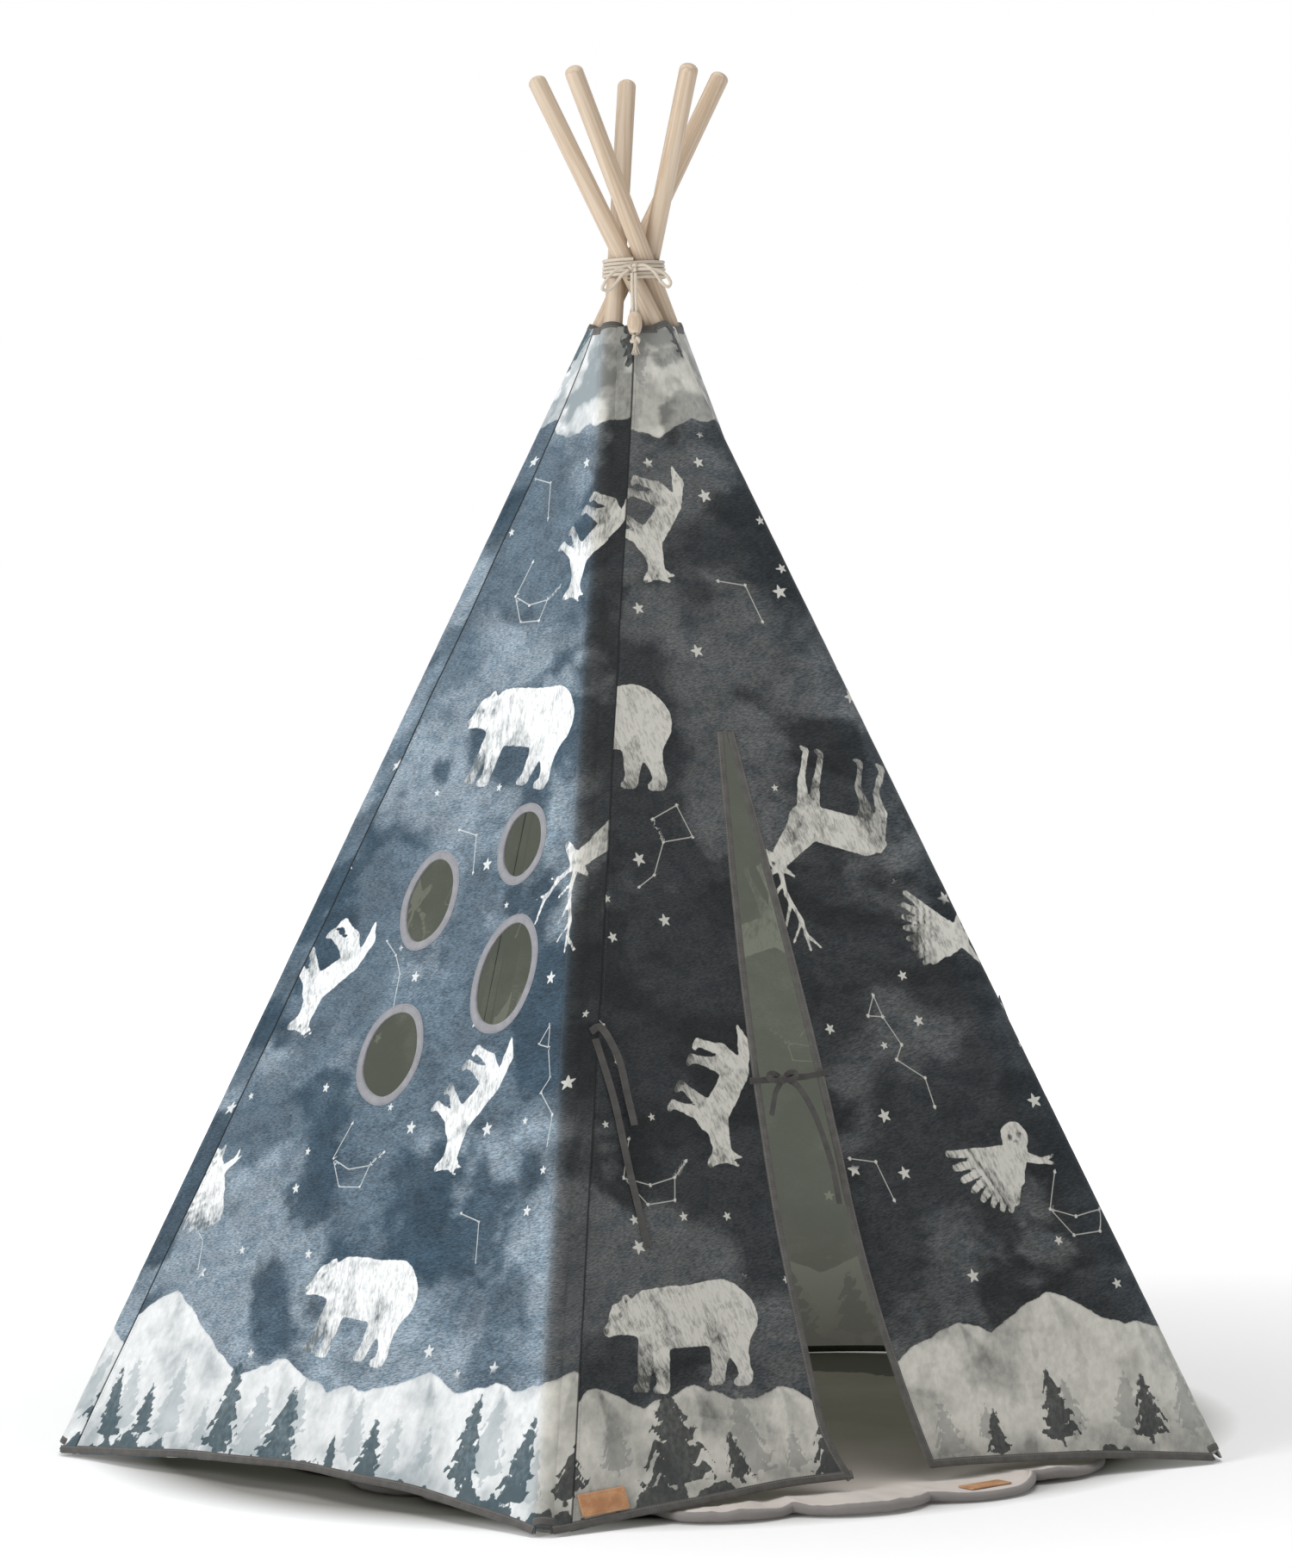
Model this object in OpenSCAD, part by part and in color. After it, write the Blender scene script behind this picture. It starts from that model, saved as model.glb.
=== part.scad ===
// Child's teepee tent: five lashed poles in a sleeved canvas cover, standing round a padded mat.
// Z is up. The origin is on the floor, straight under the crossing of the poles. The door faces -Y.
// Poles are numbered anticlockwise seen from above, from the one left of the door. Panel n runs
// from pole n to the next one, so panel 1 is the door panel.

/* [Poles] */
// Length of a whole pole
pole_len = 1800; // [1700:10:1900]
// Diameter of a pole
pole_d = 22; // [20:1:24]
// Length of a pole's lower section
lower_len = 900; // [700:10:1100]
// Length of pole above the crossing
top_len = 254; // [220:2:280]
// Lean of a pole away from the vertical, in degrees
splay = 27; // [25:0.5:28]
// Height of the rounded pole tip
tip_h = 8; // [4:1:11]
// Diameter of the metal dowel that joins the two sections
dowel_d = 8; // [6:1:10]
// Length of that dowel
dowel_len = 90; // [60:5:120]

/* [Cover] */
// Height of the cover's top edge
cover_top = 1310; // [1290:5:1320]
// Thickness of the canvas
canvas_t = 2; // [1.5:0.5:2.5]
// Height of the hem beside a pole
hem_low = 4; // [4:1:8]
// Rise of the hem half-way between two poles
hem_rise = 24; // [24:1:35]
// Width of the binding tape
tape_w = 8; // [6:1:10]

/* [Door] */
// Height of the top of the door slit
slit_top = 837; // [700:5:900]
// Height of the tie that holds the flaps together
tie_z = 450; // [350:5:520]
// Height where the tie-back ribbons are sewn on
tieback_z = 515; // [480:5:560]
// Width of a ribbon
ribbon_w = 10; // [8:1:12]

/* [Rope] */
// Diameter of the rope
rope_d = 4; // [3:0.5:5]
// Number of turns round the poles
turns = 5; // [3:1:6]
// Diameter of the hole that each pole has for the rope
rope_hole_d = 6; // [5.5:0.5:7]
// Diameter of the wooden bead on the rope's ends
bead_d = 17.5; // [16:0.5:20]
// Length of the bead
bead_h = 26; // [22:1:28]

/* [Mat] */
// Diameter of the floor mat
mat_d = 1000; // [900:10:1020]
// Thickness of the mat
mat_t = 11; // [7:1:11]
// Depth of the scallops round its edge
scallop = 20; // [0:2:40]

/* [Hidden] */

pole_r = pole_d / 2;
cross_r = 0.93 * pole_d;              // from the tent's axis to each pole's axis at the crossing
sleeve_gap = 0.5;                     // play of a pole in its sleeve
sleeve_r = pole_r + sleeve_gap + canvas_t;
below_len = pole_len - top_len;       // pole below the crossing
foot_z = sleeve_r * sin(splay) + canvas_t * cos(splay);
cross_z = foot_z + below_len * cos(splay);
foot_r = below_len * sin(splay);
twist = atan(cross_r / foot_r);       // puts the feet on a pentagon that has one side facing -Y
pivot_drop = 18;                      // from the crossing down to the rope holes
pivot_s = below_len - pivot_drop / cos(splay);
sleeve_len = (cover_top - foot_z) / cos(splay);
cloth_off = sleeve_r + 1.1;           // from the line of pole axes to the outer face of a panel
edge_gap = 9;                         // from a pole's axis to the edge of the panel beside it
air = 0.3;                            // play between sewn pieces
columns = 10;                         // cells across a panel
rows = 10;                            // cells up a panel
flap_rows = 32;                       // cells up a flap, whose edge curves
tape_proud = 0.5;                     // how far tape stands out from the canvas, on each face
hem_skew = 1.15;                      // moves the highest point of a hem to the right of the middle
mat_at = [-20, -168];                 // centre of the mat
lobes = 18;                           // scallops round the mat
mat_edge = 2;                         // height of the bevel at the mat's upper and lower edge
hinge_foot = 0.12;                    // where a flap's fold line meets the hem, as a share of the width
flap_tip = 6;                         // from the top of the slit down to the point of a flap's binding
flap_top = 40;                        // from the top of the slit down to the point of its canvas
// Openings in the window panel: place across, height, width, length, lean in degrees. The sizes
// are those of the outside of the binding.
windows = [
    [104, 716, 84, 92, 0],
    [-34, 648, 90, 113, -6],
    [132, 572, 108, 132, -6],
    [-29, 476, 104, 113, -4]
];
front_turn = -116;                    // the side of the lashing that the bow is on, in degrees

linen = "#8f9296";
dusk_blue = "#5f6f80";
night_grey = "#3c3f43";
tape_grey = "#5f5d5a";
pine = "#dcc3a0";
cotton = "#d8cbbb";
steel = "#9a9c9e";
tan_leather = "#c98f68";
mat_grey = "#a39c98";

// ---------- places ----------

function turn_of(n) = -126 + twist + 72 * (n - 1);
function across(angle) = [cos(angle), sin(angle)];
// A pole's axis at height z.
function pole_at(n, z) =
    let (a = turn_of(n), out = (cross_z - z) * tan(splay))
    [out * cos(a) + cross_r * sin(a), out * sin(a) - cross_r * cos(a)];
// Half the distance between the axes of poles n and n + 1 at height z.
function half_width(z) = norm(pole_at(1, z) - pole_at(2, z)) / 2;
// A point of panel n: s across from its middle, at height z, off outward from the outer face.
function cloth(n, s, z, off) =
    let (a = pole_at(n, z), b = pole_at(n + 1, z), e = (b - a) / norm(b - a))
    let (p = (a + b) / 2 + e * s + [e.y, -e.x] * (cloth_off + off))
    [p.x, p.y, z];
function mix(a, b, t) = a + (b - a) * t;
function edge_s(z) = half_width(z) - edge_gap;
// Height of the hem at share f of the way across.
function hem_z(f) =
    let (g = pow(f, hem_skew))
    hem_low + 4 * hem_rise * g * (1 - g);
// Depth below the top of the slit, from 0 there to 1 at the floor.
function slit_t(z) = (slit_top - z) / slit_top;
function left_slit_s(z) =
    let (t = slit_t(z))
    -2 - 64 * sin(90 * min(1, t / 0.85)) + 40 * pow(max(0, (t - 0.88) / 0.12), 2);
function right_slit_s(z) =
    let (t = slit_t(z))
    3 + 21 * sin(90 * min(1, t / 0.6)) + 36 * pow(max(0, (t - 0.6) / 0.4), 2);
// The straight fold line that a flap swings on. Side is -1 for the left flap and 1 for the right one.
function fold_s(side, z) =
    side * mix(4, (1 - 2 * hinge_foot) * half_width(hem_low), (slit_top - z) / (slit_top - hem_low));

// Lies children along pole n: the pole's foot at the origin and its axis along Z.
module at_pole(n) {
    rotate([0, 0, turn_of(n)])
        translate([foot_r, -cross_r, foot_z])
            rotate([0, -splay, 0])
                children();
}

// Lies children on the outer face of panel n at (s, z): X across, Y up the slope, Z outward.
module at_cloth(n, s, z) {
    up = 10;
    o = cloth(n, s, z, 0);
    x = (cloth(n, s + up, z, 0) - o) / up;
    v = cloth(n, s, z + up, 0) - o;
    w = cross(x, v) / norm(cross(x, v));
    y = cross(w, x);
    multmatrix([[x.x, y.x, w.x, o.x], [x.y, y.y, w.y, o.y], [x.z, y.z, w.z, o.z], [0, 0, 0, 1]])
        children();
}

// ---------- cloth solids ----------

function quad(a, b, c, d) = [[a, b, c], [a, c, d]];

// Closed sheet between an outer and an inner grid of points, each a list of columns that run up.
module sheet(outer, inner) {
    nc = len(outer);
    nr = len(outer[0]);
    function o(c, r) = c * nr + r;
    function i(c, r) = (nc + c) * nr + r;
    faces = [
        for (c = [0:nc - 2], r = [0:nr - 2])
            each concat(
                quad(o(c, r), o(c, r + 1), o(c + 1, r + 1), o(c + 1, r)),
                quad(i(c, r), i(c + 1, r), i(c + 1, r + 1), i(c, r + 1))
            ),
        for (r = [0:nr - 2])
            each concat(
                quad(i(0, r), i(0, r + 1), o(0, r + 1), o(0, r)),
                quad(o(nc - 1, r), o(nc - 1, r + 1), i(nc - 1, r + 1), i(nc - 1, r))
            ),
        for (c = [0:nc - 2])
            each concat(
                quad(o(c, 0), o(c + 1, 0), i(c + 1, 0), i(c, 0)),
                quad(i(c, nr - 1), i(c + 1, nr - 1), o(c + 1, nr - 1), o(c, nr - 1))
            )
    ];
    polyhedron(concat([for (c = outer) each c], [for (c = inner) each c]), faces, convexity = 10);
}

// Part of panel n, between two edges given as functions of height, and two ends given as functions
// of the share across. Proud thickens it on both faces.
module cloth_piece(n, left, right, low, high, cols = columns, ups = rows, proud = 0) {
    function grid(off) = [
        for (c = [0:cols])
            let (f = c / cols)
            [for (r = [0:ups])
                let (z = mix(low(f), high(f), r / ups))
                cloth(n, mix(left(z), right(z), f), z, off)]
    ];
    sheet(grid(proud), grid(-canvas_t - proud));
}

module canvas(n, low_at, high_at) {
    cloth_piece(n, function(z) -edge_s(z), function(z) edge_s(z), low_at, high_at);
}

// Canvas of a plain panel, less its tapes.
module plain_panel(n) {
    canvas(n, function(f) hem_z(f) + tape_w + air, function(f) cover_top - tape_w - air);
}

module hem_tape(n) {
    cloth_piece(
        n, function(z) -edge_s(z), function(z) edge_s(z),
        function(f) hem_z(f), function(f) hem_z(f) + tape_w, ups = 1, proud = tape_proud
    );
}

module neck_tape(n) {
    cloth_piece(
        n, function(z) -edge_s(z), function(z) edge_s(z),
        function(f) cover_top - tape_w, function(f) cover_top, cols = 2, ups = 1, proud = tape_proud
    );
}

// ---------- door ----------

// Hem height along a strip beside a pole, at share f of the strip's own width.
function side_hem_z(side, f) = hem_z(side < 0 ? f * hinge_foot : 1 - (1 - f) * hinge_foot);

// The door panel above the top of the slit.
module door_panel() {
    color(night_grey)
        cloth_piece(
            1, function(z) -edge_s(z), function(z) edge_s(z),
            function(f) slit_top, function(f) cover_top - tape_w - air
        );
}

// Strip of the door panel between a pole and the fold line of the flap beside it.
module door_strip(side, low_in, high_at, cols, ups, proud = 0) {
    cloth_piece(
        1,
        function(z) side < 0 ? -edge_s(z) : fold_s(1, z) + air,
        function(z) side < 0 ? fold_s(-1, z) - air : edge_s(z),
        function(f) side_hem_z(side, f) + low_in,
        high_at, cols, ups, proud
    );
}

module door_side(side) {
    color(night_grey)
        door_strip(side, tape_w + air, function(f) slit_top, 4, rows);
}

module door_hem_tape() {
    color(tape_grey)
        for (side = [-1, 1])
            door_strip(side, 0, function(f) side_hem_z(side, f) + tape_w, 3, 1, tape_proud);
}

// Hem height along a flap, where f runs from the left edge of the flap to its right edge.
function flap_hem_z(side, f) = hem_z(side < 0 ? mix(hinge_foot, 0.46, f) : mix(0.56, 1 - hinge_foot, f));

// A flap, or one strip of it: from a to b away from the slit's edge, as far as the fold line, and
// low_in above the hem.
module flap_piece(side, a, b, low_in, high_at, cols, ups, proud = 0) {
    cloth_piece(
        1,
        function(z) side < 0 ? max(fold_s(-1, z) + air, left_slit_s(z) - b) : right_slit_s(z) + a,
        function(z) side < 0 ? left_slit_s(z) - a : min(fold_s(1, z) - air, right_slit_s(z) + b),
        function(f) flap_hem_z(side, f) + low_in,
        high_at, cols, ups, proud
    );
}

module flap(side) {
    color(night_grey)
        flap_piece(side, tape_w + 1, pole_len, tape_w + 1, function(f) slit_top - flap_top, 6, flap_rows);
}

module flap_binding(side) {
    color(tape_grey) {
        flap_piece(side, 0, tape_w, tape_w / 2, function(f) slit_top - flap_tip, 1, flap_rows, tape_proud);
        flap_piece(side, 0, pole_len, 0, function(f) flap_hem_z(side, f) + tape_w, 6, 1, tape_proud);
    }
}

// ---------- windows and labels ----------

function ellipse(w, h) = [for (t = [0:10:350]) [w / 2 * cos(t), h / 2 * sin(t)]];

module window_shapes(inset, low, high) {
    for (w = windows)
        at_cloth(5, w[0], w[1])
            rotate([0, 0, w[4]])
                translate([0, 0, low])
                    linear_extrude(high - low)
                        polygon(ellipse(w[2] - 2 * inset, w[3] - 2 * inset));
}

module window_panel() {
    color(dusk_blue)
        difference() {
            plain_panel(5);
            window_shapes(0, -20, 20);
        }
}

module window_bindings() {
    color(linen)
        difference() {
            window_shapes(air, -canvas_t - tape_proud, tape_proud);
            window_shapes(tape_w + 1, -20, 20);
        }
}

module label(length, height, thickness) {
    linear_extrude(thickness)
        offset(r = 2)
            square([length - 4, height - 4], center = true);
}

module tent_label() {
    color(tan_leather)
        at_cloth(1, -345, 30)
            translate([0, 0, tape_proud + air])
                rotate([0, 0, 4])
                    label(58, 25, 1.5);
}

module mat_label() {
    color(tan_leather)
        translate([95, -620, mat_t + air])
            rotate([0, 0, 12])
                label(58, 25, 1.5);
}

module mat_slab(inset, low, high) {
    translate([mat_at.x, mat_at.y, low])
        linear_extrude(high - low)
            polygon([
                for (t = [0:2.5:357.5])
                    let (dip = scallop * (1 - abs(sin(lobes / 2 * (t + 5)))))
                    (mat_d / 2 - inset - dip) * across(t)
            ]);
}

module floor_mat() {
    color(mat_grey) {
        mat_slab(mat_edge, 0, mat_t);
        mat_slab(0, mat_edge, mat_t - mat_edge);
    }
}

// ---------- poles ----------

module pole_lower(n) {
    color(pine)
        at_pole(n)
            difference() {
                cylinder(r = pole_r, h = lower_len, $fn = 48);
                translate([0, 0, lower_len - dowel_len / 2])
                    cylinder(d = dowel_d + 0.1, h = dowel_len, $fn = 32);
            }
}

module pole_upper(n) {
    upper_len = pole_len - lower_len;
    color(pine)
        at_pole(n)
            difference() {
                translate([0, 0, lower_len])
                    rotate_extrude($fn = 48)
                        polygon(concat(
                            [[0, 0], [pole_r, 0]],
                            [for (t = [0:15:75]) [pole_r * cos(t), upper_len - tip_h + tip_h * sin(t)]],
                            [[0, upper_len]]
                        ));
                translate([0, 0, lower_len - dowel_len / 2])
                    cylinder(d = dowel_d + 0.1, h = dowel_len, $fn = 32);
                translate([0, 0, pivot_s])
                    rotate([90, 0, 0])
                        cylinder(d = rope_hole_d, h = 2 * pole_d, center = true, $fn = 32);
            }
}

module pole_dowel(n) {
    color(steel)
        at_pole(n)
            translate([0, 0, lower_len - dowel_len / 2 + air])
                cylinder(d = dowel_d, h = dowel_len - 2 * air, $fn = 32);
}

module pole_sleeve(n) {
    color(n == 1 || n == 5 ? dusk_blue : night_grey)
        at_pole(n)
            difference() {
                translate([0, 0, -canvas_t])
                    cylinder(r = sleeve_r, h = sleeve_len + canvas_t, $fn = 48);
                cylinder(r = pole_r + sleeve_gap, h = pole_len, $fn = 48);
            }
}

// ---------- rope ----------

function tangent(path, i) =
    let (d = path[min(i + 1, len(path) - 1)] - path[max(i - 1, 0)])
    d / norm(d);
// Unit vectors across a path, which turn as little as they can along it.
function sides(path, i = 0, last = undef) =
    let (
        t = tangent(path, i),
        start = abs(t.z) < 0.8 ? [0, 0, 1] : [1, 0, 0],
        raw = is_undef(last) ? start - t * (start * t) : last - t * (last * t),
        n = raw / norm(raw)
    )
    i == len(path) - 1 ? [n] : concat([n], sides(path, i + 1, n));

// Cord with round section along a path.
module cord(path) {
    n = 8;
    side = sides(path);
    m = len(path);
    points = [
        for (i = [0:m - 1], k = [0:n - 1])
            let (b = cross(tangent(path, i), side[i]), t = 360 * k / n)
            path[i] + rope_d / 2 * (cos(t) * side[i] + sin(t) * b)
    ];
    faces = concat(
        [[for (k = [0:n - 1]) k]],
        [for (i = [0:m - 2], k = [0:n - 1])
            each quad(i * n + k, (i + 1) * n + k, (i + 1) * n + (k + 1) % n, i * n + (k + 1) % n)],
        [[for (k = [n - 1:-1:0]) (m - 1) * n + k]]
    );
    polyhedron(points, faces, convexity = 6);
}

// Smooth path through points, three steps to each stretch.
function curve(p) = [
    for (i = [0:len(p) - 2], k = [0:2])
        let (t = k / 3, a = p[max(i - 1, 0)], b = p[i], c = p[i + 1], d = p[min(i + 2, len(p) - 1)])
        b + t / 2 * (c - a + t * (2 * a - 5 * b + 4 * c - d + t * (3 * b - a - 3 * c + d))),
    p[len(p) - 1]
];

// The turns lie against the poles, whose spread grows away from the crossing. h is from the crossing.
wrap_low = -17;                       // lowest turn
wrap_pitch = rope_d + 0.3;
wrap_steps = 24;
function wrap_r(h) = norm([cross_r, h * tan(splay)]) + pole_r / cos(splay) + rope_d / 2 + air;

knot_h = -6;                          // middle of the bow's knot, from the crossing
knot_size = [9, 12, 11];              // outward, across and up
turns_face = wrap_r(knot_h) + rope_d / 2;

// A point of the bow: x to the right, y outward from the face of the turns, z from the crossing.
function bow_at(p) =
    let (o = across(front_turn), x = [-o.y, o.x], r = turns_face + p[1])
    [o.x * r + x.x * p[0], o.y * r + x.y * p[0], cross_z + p[2]];

loop_left = [
    [-4, 4, -4], [-12, 6, -5], [-24, 9, -11], [-34, 11, -23], [-37, 11, -31], [-30, 9, -32],
    [-21, 9, -24], [-14, 8, -15], [-6, 7, -9]
];
loop_right = [
    [4, 4, -4], [14, 6, -4], [24, 9, -12], [32, 11, -24], [40, 11, -30], [43, 9, -24],
    [36, 7, -14], [24, 7, -9], [14, 6, -8], [5, 4, -8]
];

// The rope's two ends hang side by side from just under the knot to the bead and the end knot.
tail_top = [0, 8, -13];
tail_end = [0, 29, -86];
tail_run = (tail_end - tail_top) / norm(tail_end - tail_top);
tail_gap = rope_d / 2 + 0.1;          // from the middle of the bead to the middle of each end
tail_points = 15;
bead_down = 62;                       // from the tails' upper ends to the middle of the bead
function down_tail(s, x = 0) = bow_at(tail_top + tail_run * s + [x, 0, 0]);

module along_tail(s) {
    o = down_tail(s);
    w = (o - down_tail(s + 10)) / 10;
    x = cross([0, 0, 1], w) / norm(cross([0, 0, 1], w));
    y = cross(w, x);
    multmatrix([[x.x, y.x, w.x, o.x], [x.y, y.y, w.y, o.y], [x.z, y.z, w.z, o.z], [0, 0, 0, 1]])
        children();
}

module lashing_wraps() {
    color(cotton)
        cord([
            for (i = [0:wrap_steps * turns])
                let (h = wrap_low + wrap_pitch * i / wrap_steps, a = front_turn + 360 * i / wrap_steps)
                [wrap_r(h) * cos(a), wrap_r(h) * sin(a), cross_z + h]
        ]);
}

// The rope runs through the hole of every pole, on to a flat hitch between the poles.
module lashing_core() {
    squeezed_d = rope_d - 0.6;
    hitch_r = pivot_drop * tan(splay) + 0.8;
    color(cotton) {
        for (n = [1:5])
            at_pole(n)
                translate([0, cross_r, pivot_s])
                    rotate([90, 0, 0])
                        cylinder(d = squeezed_d, h = cross_r + pole_r + rope_d / 2, $fn = 24);
        translate([0, 0, cross_z - pivot_drop])
            cylinder(r = hitch_r, h = rope_d + 0.5, center = true, $fn = 48);
    }
}

module bow_knot() {
    color(cotton)
        translate(bow_at([0, knot_size[0] / 2, knot_h]))
            rotate([0, 0, front_turn])
                resize(knot_size)
                    sphere(d = 12, $fn = 24);
}

module bow_loop(points) {
    color(cotton)
        cord(curve([for (p = points) bow_at(p)]));
}

module tail_cord(side) {
    length = norm(tail_end - tail_top);
    color(cotton)
        cord([for (i = [0:tail_points - 1]) down_tail(length * i / (tail_points - 1), side * tail_gap)]);
}

module bead() {
    bore_d = 4 * tail_gap + 1;
    rim = acos((bore_d + 1.4) / bead_d);
    color(pine)
        along_tail(bead_down)
            difference() {
                rotate_extrude($fn = 48)
                    polygon(concat(
                        [[0, -bead_h / 2]],
                        [for (t = [-1:0.2:1.01])
                            [bead_d / 2 * cos(rim * t), bead_h / 2 * sin(rim * t) / sin(rim)]],
                        [[0, bead_h / 2]]
                    ));
                cylinder(d = bore_d, h = 2 * bead_h, center = true, $fn = 32);
            }
}

// A knot with a short frayed end.
module tail_knot() {
    knot_d = 13;
    color(cotton)
        along_tail(norm(tail_end - tail_top) + knot_d / 2 - 0.5) {
            sphere(d = knot_d, $fn = 32);
            translate([0, 0, -knot_d - 3])
                cylinder(d1 = 11, d2 = 7, h = 11, $fn = 24);
        }
}

// ---------- ribbons ----------

// Flat ribbon that lies along panel n through points (s, z, off).
module ribbon(n, path) {
    last = len(path) - 1;
    function run(i) = path[min(i + 1, last)] - path[max(i - 1, 0)];
    function across_run(i) = ribbon_w / 2 * [-run(i).y, run(i).x] / norm([run(i).x, run(i).y]);
    function edge(i, side, out) =
        let (p = path[i] + concat(side * across_run(i), [out]))
        cloth(n, p.x, p.y, p.z);
    function grid(out) = [for (i = [0:last]) [edge(i, -1, out), edge(i, 1, out)]];
    sheet(grid(ribbon_t), grid(0));
}

ribbon_t = 1;                         // thickness of a ribbon
tie_off = tape_proud + air;           // ribbons lie just clear of the tapes
knot_s = -24;                         // where the door tie is knotted
// The two hanging runs of a tie-back: inward from the seam, up from where it is sewn on, outward
tieback_runs = [
    [[0, 0, 0], [12, 2, 6], [24, -30, 8], [26, -70, 6], [28, -102, 4]],
    [[4, -8, 0], [10, -70, 2], [12, -150, 1], [14, -230, 1]]
];

module door_tie_left() {
    color(tape_grey) {
        ribbon(1, [[-80, tie_z, tie_off], [-60, tie_z, tie_off], [knot_s - 4, tie_z, tie_off + 2]]);
        ribbon(1, [
            [knot_s - 2, tie_z - 2, tie_off + 3], [knot_s - 14, tie_z - 16, tie_off + 2],
            [knot_s - 22, tie_z - 32, tie_off]
        ]);
        at_cloth(1, knot_s, tie_z)
            translate([0, 0, tie_off + 4])
                scale([1, 1, 0.6])
                    sphere(d = 14, $fn = 24);
    }
}

module door_tie_right() {
    color(tape_grey) {
        ribbon(1, [
            [42, tie_z + 4, tie_off], [20, tie_z + 2, tie_off], [knot_s + 8, tie_z + 1, tie_off + 2]
        ]);
        ribbon(1, [
            [knot_s + 12, tie_z + 1, tie_off + 3.4], [0, tie_z - 18, tie_off + 3],
            [10, tie_z - 42, tie_off + 3], [16, tie_z - 90, tie_off + 3], [14, tie_z - 138, tie_off + 3]
        ]);
    }
}

// A tie-back ribbon hangs doubled from the seam beside a pole.
module tieback(n, side) {
    seam = half_width(tieback_z) - edge_gap - 6;
    color(tape_grey)
        for (run = tieback_runs)
            ribbon(n, [for (p = run) [side * (seam - p[0]), tieback_z + p[1], tie_off + p[2]]]);
}

// ---------- nodes ----------

floor_mat();
mat_label();
lashing_wraps();
lashing_core();
bow_knot();
bow_loop(loop_left);  // bow_loop_left
bow_loop(loop_right);  // bow_loop_right
tail_cord(-1);  // tail_cord_left
tail_cord(1);  // tail_cord_right
tail_knot();
bead();
for (n = [1:5]) {
    pole_lower(n);
    pole_upper(n);
    pole_dowel(n);
    pole_sleeve(n);
}
door_panel();
door_side(-1);  // door_side_left
door_side(1);  // door_side_right
color(night_grey) plain_panel(2);  // right_panel
color(dusk_blue) plain_panel(3);  // back_right_panel
color(dusk_blue) plain_panel(4);  // back_left_panel
window_panel();
door_hem_tape();
color(tape_grey) hem_tape(2);  // right_hem_tape
color(tape_grey) hem_tape(3);  // back_right_hem_tape
color(tape_grey) hem_tape(4);  // back_left_hem_tape
color(tape_grey) hem_tape(5);  // window_hem_tape
color(tape_grey) neck_tape(1);  // door_neck_tape
color(tape_grey) neck_tape(2);  // right_neck_tape
color(tape_grey) neck_tape(3);  // back_right_neck_tape
color(tape_grey) neck_tape(4);  // back_left_neck_tape
color(tape_grey) neck_tape(5);  // window_neck_tape
window_bindings();
tent_label();
flap(-1);  // flap_left
flap(1);  // flap_right
flap_binding(-1);  // flap_left_binding
flap_binding(1);  // flap_right_binding
door_tie_left();
door_tie_right();
tieback(1, -1);  // tieback_left
tieback(2, -1);  // tieback_right
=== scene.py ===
"""Looks of a child's teepee tent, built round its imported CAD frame. Metres, +Z up, door towards -Y.

Poles are numbered anticlockwise seen from above, from the one left of the door, and panel n runs
from pole n to the next one. A point of a panel is (s, z): s across from its middle, z above the floor.
"""
import math
from math import atan, cos, pi, radians, sin, tan

import bpy
import numpy as np
from mathutils import Matrix, Vector


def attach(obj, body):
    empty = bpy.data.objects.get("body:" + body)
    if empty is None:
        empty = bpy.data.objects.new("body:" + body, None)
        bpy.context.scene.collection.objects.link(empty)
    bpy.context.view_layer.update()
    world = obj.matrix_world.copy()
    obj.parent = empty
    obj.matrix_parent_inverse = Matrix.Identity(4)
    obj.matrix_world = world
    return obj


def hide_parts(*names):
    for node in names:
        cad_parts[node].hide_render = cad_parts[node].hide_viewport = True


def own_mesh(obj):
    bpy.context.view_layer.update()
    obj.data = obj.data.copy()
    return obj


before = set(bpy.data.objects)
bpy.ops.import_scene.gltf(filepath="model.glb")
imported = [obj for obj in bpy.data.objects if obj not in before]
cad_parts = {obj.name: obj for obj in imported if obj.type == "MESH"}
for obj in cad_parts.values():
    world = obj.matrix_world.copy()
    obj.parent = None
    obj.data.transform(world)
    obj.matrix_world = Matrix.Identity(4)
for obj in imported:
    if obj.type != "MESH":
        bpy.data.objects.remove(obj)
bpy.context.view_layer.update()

# ---------- sizes, as the CAD model has them ----------
POLE_LEN = 1.8
TOP_LEN = 0.254
POLE_R = 0.011
SPLAY = radians(27)
CANVAS = 0.002
COVER_TOP = 1.31
HEM_LOW = 0.004
HEM_RISE = 0.024
HEM_SKEW = 1.15
BACK_HEM = -0.1                      # share of the rise in the two back panels' hems
HEM_END = 0.004                      # from the end of a hem's tape to the pole's axis
TAPE_W = 0.008
SLIT_TOP = 0.837
HINGE_FOOT = 0.12
FLAPS = {-1: "flap_left", 1: "flap_right"}
HEM_SHARES = {-1: (HINGE_FOOT, 0.46), 1: (0.56, 1 - HINGE_FOOT)}    # how much of the hem each flap takes
# Each edge of the slit: its place at the top, its sweep and the share of its length over which it
# sweeps, then how far its foot curls to the right and from which share on
SLIT_SHAPE = {-1: (-0.002, -0.064, 0.85, 0.04, 0.88), 1: (0.003, 0.021, 0.6, 0.036, 0.6)}
TIE_Z = 0.45
TIEBACK_Z = 0.515
RIBBON_W = 0.01
RIBBON_T = 0.001
ROPE_R = 0.002
TURNS = 5
MAT_R = 0.5
MAT_T = 0.011
MAT_AT = (-0.02, -0.168)
CROSS_R = 0.93 * 2 * POLE_R
SLEEVE_R = POLE_R + 0.0025
FOOT_Z = SLEEVE_R * sin(SPLAY) + CANVAS * cos(SPLAY)
CROSS_Z = FOOT_Z + (POLE_LEN - TOP_LEN) * cos(SPLAY)
FOOT_R = (POLE_LEN - TOP_LEN) * sin(SPLAY)
TWIST = atan(CROSS_R / FOOT_R)
CLOTH_OFF = SLEEVE_R + 0.0011
TUBE_R = CLOTH_OFF - 0.0004          # outer face of a sleeve
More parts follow.
